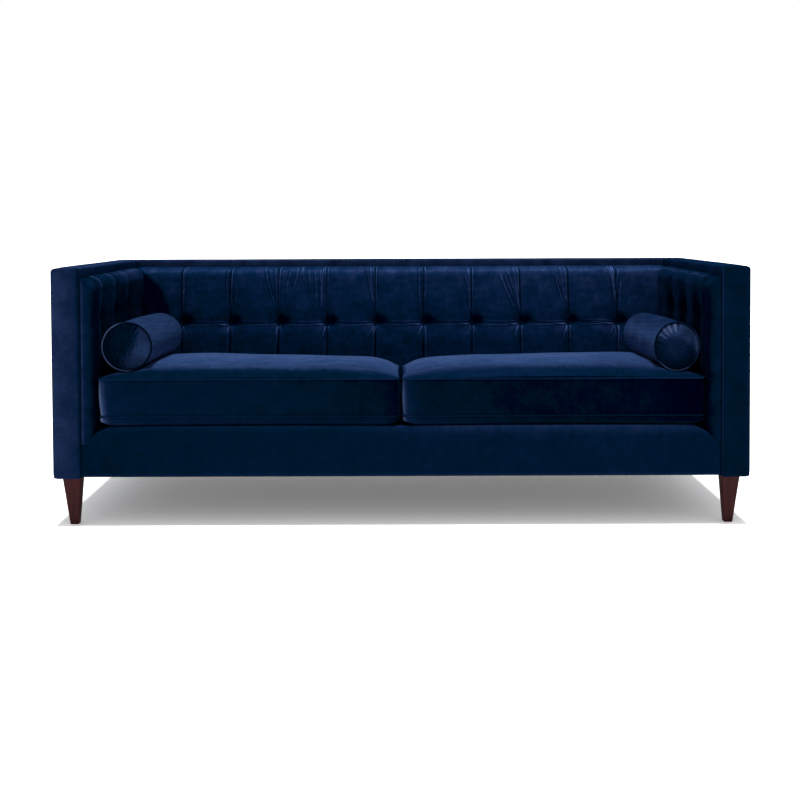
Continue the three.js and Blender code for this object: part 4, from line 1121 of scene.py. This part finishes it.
def bolster(side):
    """A stuffed roll: its front end a disc gathered into piping, its rear end rounded off."""
    word = SIDE_WORD[side]
    centre, half_length = bolster_seat(side)
    width, height = BOLSTER_SHAPES[side][:2]
    angle = np.linspace(0, 2 * np.pi, BOLSTER_AROUND, endpoint=False)
    random = np.random.default_rng(61 + side)
    gather = sum(np.sin(angle * count + random.uniform(0, 6.3)) * strength for count, strength in GATHERS)

    def ring(share, y, radial=0.0):
        out = share + radial
        y = np.broadcast_to(y, angle.shape)
        return np.stack([centre[0] + width * out * np.cos(angle), centre[1] + y,
                         centre[2] + height * out * np.sin(angle) - bolster_drop(y, half_length)], axis=-1)

    def disc(end):
        rings = []
        for share in [0.02, 0.08, 0.16, *np.linspace(0.24, 0.985, 34)]:
            bulge = DISC_BULGE * (1 - share ** 2.6)
            tuck = GATHER_DEPTH[side] * gather * smoothstep(0.45, 0.85, share) * smoothstep(1.02, 0.93, share)
            edge = -DISC_DIP * smoothstep(0.90, 0.985, share)
            for place, deep, wide, reach in DISC_FOLDS[side] if end < 0 else []:
                turned = turned_from(angle, place)
                grown = smoothstep(reach, 0.95, share) * smoothstep(1.02, 0.96, share)
                tuck = tuck - deep * hill(turned, wide * (0.6 + 0.4 * share)) * grown
                tuck = tuck + 0.45 * deep * hill(turned - 2.2 * wide, 1.3 * wide) * grown
            rings.append(ring(share, end * (half_length - 0.006 + bulge + edge + tuck)))
        return rings

    roll = []
    roll_end = half_length - 0.003
    piping = (-half_length, half_length)
    for y in spread(-roll_end, roll_end, step=0.006, fine_places=piping, fine_step=0.0025, reach=0.03):
        from_end = half_length - abs(y)
        pull = -PIPING_PULL * math.exp(-from_end / 0.005)
        pucker = 0.004 * gather * math.exp(-from_end / 0.015) * min(1.0, from_end / 0.008)
        slack = 0.007 * ripple(angle * width, y, 63 + side, 0.09) * smoothstep(0, 0.08, from_end)
        taper = -REAR_TAPER * max(0.0, 1 - from_end / 0.055) ** 2.2 if y > 0 else 0.0
        middle = math.sin(math.pi * (y + half_length) / (2 * half_length))
        fuller = 0.045 * middle * np.clip(np.sin(angle), 0, 1) ** 2
        roll.append(ring(1.0 - 0.012 * (1 - middle) + taper, y, pull + pucker + slack * 0.6 + fuller))
    # The rear disc is drawn in to meet the tapered roll
    rear = [points + (centre * [1, 0, 1] - points) * [0.19, 0, 0.19] for points in disc(1)[::-1]]
    points, faces = lofted(disc(-1) + roll + rear)

    def lay(points, normals):
        _, y, _ = (points - centre).T
        across = (points[:, 0] - centre[0]) / width
        rise = (points[:, 2] - centre[2] + bolster_drop(y, half_length)) / height
        on_disc = smoothstep(-half_length + 0.012, -half_length + 0.003, y)
        cloud = ripple(across, rise, 65 + side, 0.35)
        speckle = ripple(across, rise, 66 + side, 0.09) + ripple(across, rise, 68 + side, 0.05)
        lit = (left_disc_lay if side < 0 else right_disc_lay)(across, rise, cloud, speckle)
        top = smoothstep(0.98, 0.30, rise)
        # Painted light along the roll, lighter below its crown, and a painted shadow along its bottom where
        # it rests
        along = 0.54 + 0.11 * top + 0.16 * smoothstep(-0.05, -0.55, rise) if side < 0 else 0.42 + 0.30 * top
        along = along * smoothstep(-0.97, -0.78, rise) + 0.05 * ripple(y, rise, 67 + side, 0.08)
        return lit * on_disc + along * (1 - on_disc)

    piece = upholster("bolster_roll_" + word, points, faces, BOLSTER_VELVET, "bolster_" + word, seam=WELD,
                      base=0.14, crest=0.3, hollow=1.1 if side < 0 else 0.55, extra=lay)
    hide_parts("bolster_cover_" + word, "bolster_filling_" + word)

    # Painted light on the piping: the left one lit round its left side, the right one along its bottom and
    # its right side
    def welt_lay(points, normals):
        across = (points[:, 0] - centre[0]) / width
        rise = (points[:, 2] - centre[2]) / height
        if side < 0:
            return 0.92 * smoothstep(0.10, -0.55, across - 0.5 * smoothstep(-0.6, -0.95, rise))
        under = 0.85 * smoothstep(-0.35, -0.75, rise) * smoothstep(0.75, 0.35, across)
        return under + 0.45 * smoothstep(0.5, 0.95, across)

    points, faces = tube_along(ring(1.0, -half_length + 0.0015), BOLSTER_WELT, up=(0, 1, 0))
    upholster("bolster_welt_" + word, points, faces, BOLSTER_VELVET, "bolster_" + word, seam=1e-6,
              base=0.10, crest=0.1, hollow=0.6, extra=welt_lay)


for side in SIDE_WORD:
    bolster(side)


# Seat cushions

CUSHION_WELT = 0.0028
LOWER_WELT = 0.0282
BOXING = 0.1150
BOXING_INSET = 0.0045
CROWN = 0.0470
CROWN_ALONG = 3.4
CROWN_OUTER = 5.0
CROWN_INNER = 11.0
OUTER_REAR_DROP = 0.012
INNER_REAR_DROP = 0.040
FOOT_TURN = 0.012
FOOT_GAP = 0.0005
CUSHION_CORNER = 0.024
# The pleats of a cushion's seams: how far apart, and how strong
PUCKERS = ((0.031, 0.5), (0.019, 0.5), (0.047, 0.6), (0.083, 0.5))
# How much of a bolster's room the cushion leaves free, and how softly it gives way round it
BOLSTER_ROOM = 0.005
BOLSTER_SOFT = 0.0035

# The nap and painted light along each cushion's front, with a painted highlight at its left end, by
# millimetres from its left end
BOXING_NAP_AND_LIGHT = {
    -1: ([0, 8, 9.5, 11.5, 13, 16, 19, 22, 25, 28, 35, 50, 100, 400, 640, 760, 800, 870, 895, 905, 920],
         [1.40, 1.40, 1.20, 1.00, 0.89, 0.81, 0.74, 0.67, 0.60, 0.51, 0.42, 0.37, 0.34, 0.31, 0.29, 0.24,
          0.22, 0.19, 0.15, 0.11, 0.06]),
    1: ([0, 3, 4.5, 6.5, 9, 12, 15.5, 22, 38, 55, 75, 250, 285, 320, 360, 470, 560, 770, 810, 850, 930],
        [1.12, 1.12, 1.00, 0.81, 0.68, 0.57, 0.45, 0.38, 0.31, 0.26, 0.22, 0.21, 0.18, 0.16, 0.15, 0.14, 0.13,
         0.12, 0.07, 0.03, 0.01]),
}
# How far each cushion's left end is drawn in at its upper and lower seams
END_TAPER = {-1: (0.0050, 0.0160), 1: (-0.0036, 0.0000)}
# How far back from the front seam the painted light on each cushion's top begins, and the nap and painted
# light of the slope before it, by millimetres from the sofa's middle
CROWN_START = {-1: ([0, 40, 80, 250, 600, 940], [36, 41, 46, 60, 64, 64]),
               1: ([0, 60, 200, 330, 650, 940], [36, 46, 80, 95, 78, 74])}
SLOPE_NAP_AND_LIGHT = {-1: ([0, 60, 120, 200, 940], [0.30, 0.33, 0.31, 0.26, 0.26]),
             1: ([0, 60, 130, 200, 420, 520, 650, 940], [0.28, 0.30, 0.40, 0.43, 0.43, 0.37, 0.34, 0.30])}
# The painted light of the top, by millimetres back from the cushion's front
PLATEAU_NAP_AND_LIGHT = ([60, 110, 130, 190, 260, 620], [0.70, 0.78, 0.82, 0.85, 0.90, 0.92])


def cushion_outline(half_x, half_y, corner, inner_side, around):
    """Points round a cushion's plan, centred on zero, with its sides drawn in between the corners."""
    sides = []
    for number in range(4):
        long, far = (half_y, half_x) if number % 2 == 0 else (half_x, half_y)
        draw = 0.003 if number == inner_side else 0.011
        count = max(8, round(around * long / (2 * (half_x + half_y))))
        t = (np.arange(count) + 0.5) / count
        bend = (np.arange(10) + 0.5) / 10 * np.pi / 2
        along = np.concatenate([(t * 2 - 1) * (long - corner), long - corner + corner * np.sin(bend)])
        out = np.concatenate([far - draw * np.sin(np.pi * t), far - corner + corner * np.cos(bend)])
        angle = number * np.pi / 2
        sides.append(np.stack([out * np.cos(angle) - along * np.sin(angle),
                               out * np.sin(angle) + along * np.cos(angle)], axis=-1))
    return np.concatenate(sides)


def bolster_press(side, points, top):
    """How far a bolster presses the top of its cushion down at each point."""
    centre, half_length = bolster_seat(side)
    half_width, half_height = BOLSTER_SHAPES[side][:2]
    x, y, z = np.moveaxis(points, -1, 0)
    across = (x - centre[0]) / (half_width + BOLSTER_ROOM)
    middle_line = centre[2] - bolster_drop(y - centre[1], half_length)
    under = middle_line - (half_height + BOLSTER_ROOM) * np.sqrt(np.clip(1 - across ** 2, 0, 1))
    low, high = corners("bolster_cover_" + SIDE_WORD[side])
    ends = smoothstep(low[1] - 0.030, low[1] + 0.004, y) * smoothstep(high[1] + 0.030, high[1] - 0.004, y)
    excess = np.where(np.abs(across) < 1, (z - under) / BOLSTER_SOFT, -20)
    press = BOLSTER_SOFT * np.logaddexp(0, np.clip(excess, -20, 20)) * ends
    return np.where(z > top - 0.03, press, 0)


def seat_cushion(side):
    word = SIDE_WORD[side]
    body = "seat_cushion_" + word
    low, high = corners("seat_cushion_cover_" + word)
    middle = (low + high) / 2
    half_x, half_y = (high - low)[:2] / 2 + 0.0002
    foot = low[2]
    lower, upper = foot + LOWER_WELT, foot + LOWER_WELT + BOXING
    inner_end, outer_end = sorted((abs(low[0]), abs(high[0])))
    outline = cushion_outline(half_x, half_y, CUSHION_CORNER, inner_side=0 if side < 0 else 2, around=420)
    around = len(outline)
    length = np.concatenate([[0], np.cumsum(np.linalg.norm(np.diff(outline, axis=0), axis=1))])
    random = np.random.default_rng(71 + side)
    pucker = sum(np.sin(length * 2 * np.pi / apart + random.uniform(0, 6.3)) * strength
                 for apart, strength in PUCKERS)
    end_top, end_foot = END_TAPER[side]
    corner_x, corner_y = np.abs(outline[:, 0]) / half_x, np.abs(outline[:, 1]) / half_y
    corner_tuck = -0.030 * (corner_x ** 22 * corner_y ** 10)
    at_corners = corner_x ** 40 * corner_y ** 14

    def rear_drop(x, y):
        inward = 1 - np.clip((np.abs(x) - inner_end) / (outer_end - inner_end), 0, 1)
        back = np.clip((y - low[1]) / (high[1] - low[1]), 0, 1)
        return back * (OUTER_REAR_DROP + (INNER_REAR_DROP - OUTER_REAR_DROP) * inward)

    def pitched(points):
        """Lets the top down towards the rear, the whole of it at the welt and none at the foot."""
        share = np.clip((points[..., 2] - lower) / (upper - lower), 0, 1)
        points[..., 2] -= share * rear_drop(points[..., 0], points[..., 1])
        return points

    def at_height(flat, z):
        return np.column_stack([middle[:2] + flat, np.broadcast_to(z, (around,))])

    def ring(inset, z, pull):
        """The outline at a height, drawn in by the inset and pushed out by the pull."""
        flat = outline * [(half_x - inset) / half_x, (half_y - inset) / half_y]
        outward = flat / np.linalg.norm(flat, axis=1)[:, None]
        return at_height(flat + outward * np.reshape(pull, (-1, 1)), z)

    def drawn(share):
        """How far a ring is drawn in at its corners, by its share of the way from the lower seam up."""
        left = end_foot + (end_top - end_foot) * share
        return -at_corners * np.where(outline[:, 0] < 0, left, 0.003 * (1 - share))

    rings = [at_height(outline * share, foot + FOOT_GAP) for share in (0.05, 0.3, 0.55, 0.75, 0.86)]
    for i in range(1, 10):
        turn = i / 9 * math.pi / 2
        tucked = corner_tuck * math.cos(turn) + drawn(0)
        z = foot + FOOT_GAP + FOOT_TURN * (1 - math.cos(turn))
        inset = BOXING_INSET + FOOT_TURN * (1 - math.sin(turn))
        rings.append(ring(inset, z, 0.0005 * pucker * i / 9 + tucked))
    for share in (0.25, 0.5, 0.75, 0.98):
        z = foot + FOOT_GAP + FOOT_TURN + (LOWER_WELT - 0.003 - FOOT_TURN) * share
        rings.append(ring(BOXING_INSET - 0.0012 * math.sin(math.pi * share), z, 0.0006 * pucker + drawn(0)))
    for share in np.linspace(0, 1, 22):
        near_seam = math.exp(-min(share, 1 - share) * BOXING / 0.012)
        z = lower + 0.0025 + (BOXING - 0.005) * share
        belly = 0.0030 * math.sin(math.pi * share)
        rings.append(ring(BOXING_INSET + 0.0003 - belly, z, 0.0007 * pucker * near_seam + drawn(share)))
    for share in [0.992, 0.984, 0.975, *np.linspace(0.965, 0.85, 14), *np.linspace(0.835, 0.04, 42)]:
        flat = outline * share
        x, y = flat.T
        sideways = np.where(x * side < 0, CROWN_INNER, CROWN_OUTER)
        crown = (1 - np.abs(x / half_x) ** sideways) * (1 - np.abs(y / half_y) ** CROWN_ALONG)
        from_seam = (1 - share) * half_y
        tuck = 0.0012 * pucker * math.exp(-from_seam / 0.020) * smoothstep(0, 0.006, from_seam)
        uneven = 0.0014 * ripple(x, y, 73 + side, 0.13) * smoothstep(0.0, 0.10, from_seam)
        rings.append(at_height(flat, upper + CROWN * crown + tuck + uneven))
    rings = pitched(np.array(rings))
    rings[..., 2] -= bolster_press(side, rings, upper)
    points, faces = lofted(rings)

    def front_lay(x, z):
        from_left = (x - low[0]) / MM
        share = np.clip((z - lower) / BOXING, 0, 1)
        from_left = from_left - (end_foot - end_top) * (1 - share) / MM * smoothstep(60, 20, from_left)
        return np.interp(from_left, *BOXING_NAP_AND_LIGHT[side]) + 0.03 * ripple(x, z, 77 + side, 0.05)

    # The painted light of the top: a darker slope behind the front seam, then the lit top
    def top_lay(x, y):
        place = np.abs(x) / MM
        back = (y - low[1]) / MM
        start = np.interp(place, *CROWN_START[side]) + 4 * ripple(x, 0.0, 75 + side, 0.09)
        start = start + 4 * ripple(x, y, 74 + side, 0.013)
        slope = np.interp(place, *SLOPE_NAP_AND_LIGHT[side]) + 0.03 * ripple(x, y, 76 + side, 0.04)
        plateau = np.interp(back, *PLATEAU_NAP_AND_LIGHT) - 0.05 * (side > 0) * smoothstep(560, 700, place)
        plateau = plateau + 0.03 * ripple(x, y * 2.5, 78 + side, 0.07)
        plateau = plateau + 0.03 * ripple(x * 0.4, y * 2.5, 80 + side, 0.016)
        return slope + (plateau - slope) * smoothstep(-24 if side < 0 else -44, 26, back - start)

    # Painted light and shade: the front by its table, the top by its painted light, and the other sides at
    # one level
    def lay(points, normals):
        x, y, z = points.T
        _, ny, nz = normals.T
        at_end = smoothstep(0.016, 0.010, x - low[0])
        front = smoothstep(-0.25 + 0.50 * at_end, -0.6 + 0.62 * at_end, ny) * (nz < 0.8)
        # Painted shade just under each welt, and a painted highlight along the foot
        welt_shade = 0.20 * smoothstep(0.010, 0.003, upper - z) * (z < upper)
        welt_shade = welt_shade + 0.10 * smoothstep(0.008, 0.003, lower - z) * (z < lower)
        fronts = front_lay(x, z) - welt_shade + 0.14 * smoothstep(0.014, 0.006, z - foot) + 0.05 * (z < lower)
        on_top = z > upper - rear_drop(x, y) - 0.004
        rest = np.where(on_top, top_lay(x, y), 0.34 + 0.04 * ripple(y, z, 79, 0.06))
        return front * fronts + (1 - front) * rest

    piece = upholster("seat_cushion_" + word, points, faces, SEAT_VELVET, body, seam=WELD, crest=0.04,
                      hollow=0.10, extra=lay)
    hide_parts("seat_cushion_cover_" + word, "seat_cushion_foam_" + word)

    # Painted light on the welts, lighter along the front
    def upper_welt_lay(points, normals):
        front = smoothstep(0.02, 0.01, points[:, 1] - low[1])
        return 0.44 * front + 0.36 * (1 - front)

    def lower_welt_lay(points, normals):
        x, y, z = points.T
        front = smoothstep(0.02, 0.01, y - low[1])
        return (np.clip(front_lay(x, z), 0, 0.5) * 0.6 + 0.20) * front + 0.36 * (1 - front)

    sag = 0.0006 * np.sin(length * 9.0)
    welts = (("upper", upper, 1, upper_welt_lay), ("lower", lower, 0, lower_welt_lay))
    for name, z, share, welt_lay in welts:
        path = pitched(ring(CUSHION_WELT + 0.0004, z + sag, 0.8 * drawn(share)))
        points, faces = tube_along(path, CUSHION_WELT, up=(0, 0, 1), sides=12)
        upholster(f"cushion_welt_{name}_{word}", points, faces, SEAT_VELVET, body, up=0.04, up_from=0.2,
                  up_to=0.9, extra=welt_lay)


for side in SIDE_WORD:
    seat_cushion(side)


# Deck, legs and the pieces underneath

def seat_deck():
    low, high = corners("seat_deck")
    points, faces = soft_box(low, high, radius=0.006, puff=0.0008, step=0.02, fine_step=0.002, seed=81)
    piece = add_piece("deck_cover", points, faces, DECK_CLOTH, "sofa")
    weld(piece, WELD)
    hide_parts("seat_deck")


LEG_FOOT_WIDTH = 0.026
LEG_FOOT_TUCK = 0.005
LEG_CORNER_STEPS = 6


def tapered_leg(node):
    """A square leg that tapers on all four sides, most on its outer one, with softened edges."""
    low, high = corners(node)
    middle = (low + high) / 2
    width, depth, height = high - low
    top_half, foot_half = depth / 2, LEG_FOOT_WIDTH / 2
    inwards = -np.sign(middle[0])
    top_x = middle[0] - inwards * width / 2 + inwards * top_half
    rings = []
    for z in [0, 0.0008, 0.002, *np.linspace(0.006, height - 0.001, 26), height]:
        share = z / height
        half = foot_half + (top_half - foot_half) * share - 0.0012 * math.exp(-z / 0.0008)
        soft = 0.0030 + 0.0015 * share
        x = top_x + inwards * LEG_FOOT_TUCK * (1 - share)
        ring = []
        for corner, (across, back) in enumerate(((1, 1), (-1, 1), (-1, -1), (1, -1))):
            for i in range(LEG_CORNER_STEPS):
                angle = (corner + i / (LEG_CORNER_STEPS - 1)) * math.pi / 2
                ring.append((x + (half - soft) * across + soft * math.cos(angle),
                             middle[1] + (half - soft) * back + soft * math.sin(angle), low[2] + z))
        rings.append(ring)
    points, faces = lofted(rings)
    piece = add_piece("tapered_" + node, points, faces, MAHOGANY, "sofa")
    weld(piece, FINE_WELD)
    for polygon in piece.data.polygons:
        polygon.use_smooth = len(polygon.vertices) == 4
    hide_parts(node)


def finish_nodes(words, material):
    """Gives a material to the CAD nodes that have one of the words in their names."""
    for name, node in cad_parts.items():
        if any(word in name for word in words):
            node.data.materials.clear()
            node.data.materials.append(material)


seat_deck()
for end in ("front", "back"):
    for word in ("left", "right"):
        tapered_leg(f"leg_{end}_{word}")
finish_nodes(("_rail", "post", "slat", "stretcher"), HARDWOOD)
finish_nodes(("leg_bolt", "seat_springs"), WIRE)
finish_nodes(("back_burlap",), BURLAP)
finish_nodes(("dust_cover",), CAMBRIC)


# Floor, light and camera

FLOOR_GLOW = 0.145
SUN_STRENGTH = 2.3
SUN_WIDTH = math.radians(8)
ROOM_LIGHT = 0.42


def studio_floor():
    """A pale floor that the camera sees as white, except where the sofa shades it."""
    finish = Finish("studio_floor", Roughness=0.9, Specular_IOR_Level=0.0)
    shade = finish.noise(finish.place(), 0.6)
    finish.feed(Base_Color=finish.blend(shade, (0.93, 0.93, 0.93, 1), (0.95, 0.95, 0.95, 1)))
    plain = Tone(finish, finish.skin.outputs[0])
    glow = finish.node("ShaderNodeEmission", None, {"Color": (1, 1, 1, 1), "Strength": FLOOR_GLOW})
    seen = finish.node("ShaderNodeLightPath", output="Is Camera Ray")
    bright = finish.node("ShaderNodeAddShader", None, {0: plain, 1: plain})
    both = finish.node("ShaderNodeAddShader", None, {0: bright, 1: glow})
    shown = finish.node("ShaderNodeMixShader", None, {0: seen, 1: plain, 2: both})
    finish.tree.links.new(shown.socket, finish.tree.nodes["Material Output"].inputs["Surface"])
    reach = 60.0
    edge = [(-reach, -reach, 0), (reach, -reach, 0), (reach, reach, 0), (-reach, reach, 0)]
    mesh = bpy.data.meshes.new("floor")
    mesh.from_pydata(edge, [], [(0, 1, 2, 3)])
    mesh.materials.append(finish.material)
    floor = bpy.data.objects.new("floor", mesh)
    scene.collection.objects.link(floor)


def overhead_light():
    """One large soft light straight above, so that the shadow on the floor is the sofa's own plan."""
    light = bpy.data.lights.new("overhead", "SUN")
    light.energy = SUN_STRENGTH
    light.angle = SUN_WIDTH
    lamp = bpy.data.objects.new("overhead", light)
    scene.collection.objects.link(lamp)
    lamp.location = (0, 0, 4)


def studio_world():
    """A white room that is seen at full strength and lights the sofa at less."""
    world = bpy.data.worlds.new("studio")
    scene.world = world
    world.use_nodes = True
    tree = world.node_tree
    background = tree.nodes["Background"]
    path = tree.nodes.new("ShaderNodeLightPath")
    strength = tree.nodes.new("ShaderNodeMapRange")
    strength.inputs["To Min"].default_value = ROOM_LIGHT
    strength.inputs["To Max"].default_value = 1.0
    tree.links.new(path.outputs["Is Camera Ray"], strength.inputs["Value"])
    background.inputs["Color"].default_value = (1, 1, 1, 1)
    tree.links.new(strength.outputs["Result"], background.inputs["Strength"])


def photo_camera():
    data = bpy.data.cameras.new("photo_camera")
    data.sensor_width = SENSOR_WIDTH
    data.lens = FOCAL_PIXELS / PHOTO_WIDTH * SENSOR_WIDTH
    data.shift_x = (PHOTO_WIDTH / 2 - PRINCIPAL_X) / PHOTO_WIDTH
    data.shift_y = (PRINCIPAL_Y - PHOTO_WIDTH / 2) / PHOTO_WIDTH
    data.clip_end = 200
    camera = bpy.data.objects.new("photo_camera", data)
    scene.collection.objects.link(camera)
    camera.location = (0, FRONT - CAMERA_DISTANCE, CAMERA_HEIGHT)
    camera.rotation_mode = "XYZ"
    turn = Matrix.Rotation(math.pi / 2 - CAMERA_TILT, 4, "X") @ Matrix.Rotation(CAMERA_ROLL, 4, "Z")
    camera.rotation_euler = turn.to_euler()
    scene.camera = camera


studio_floor()
studio_world()
overhead_light()
photo_camera()
scene.view_settings.view_transform = "Standard"
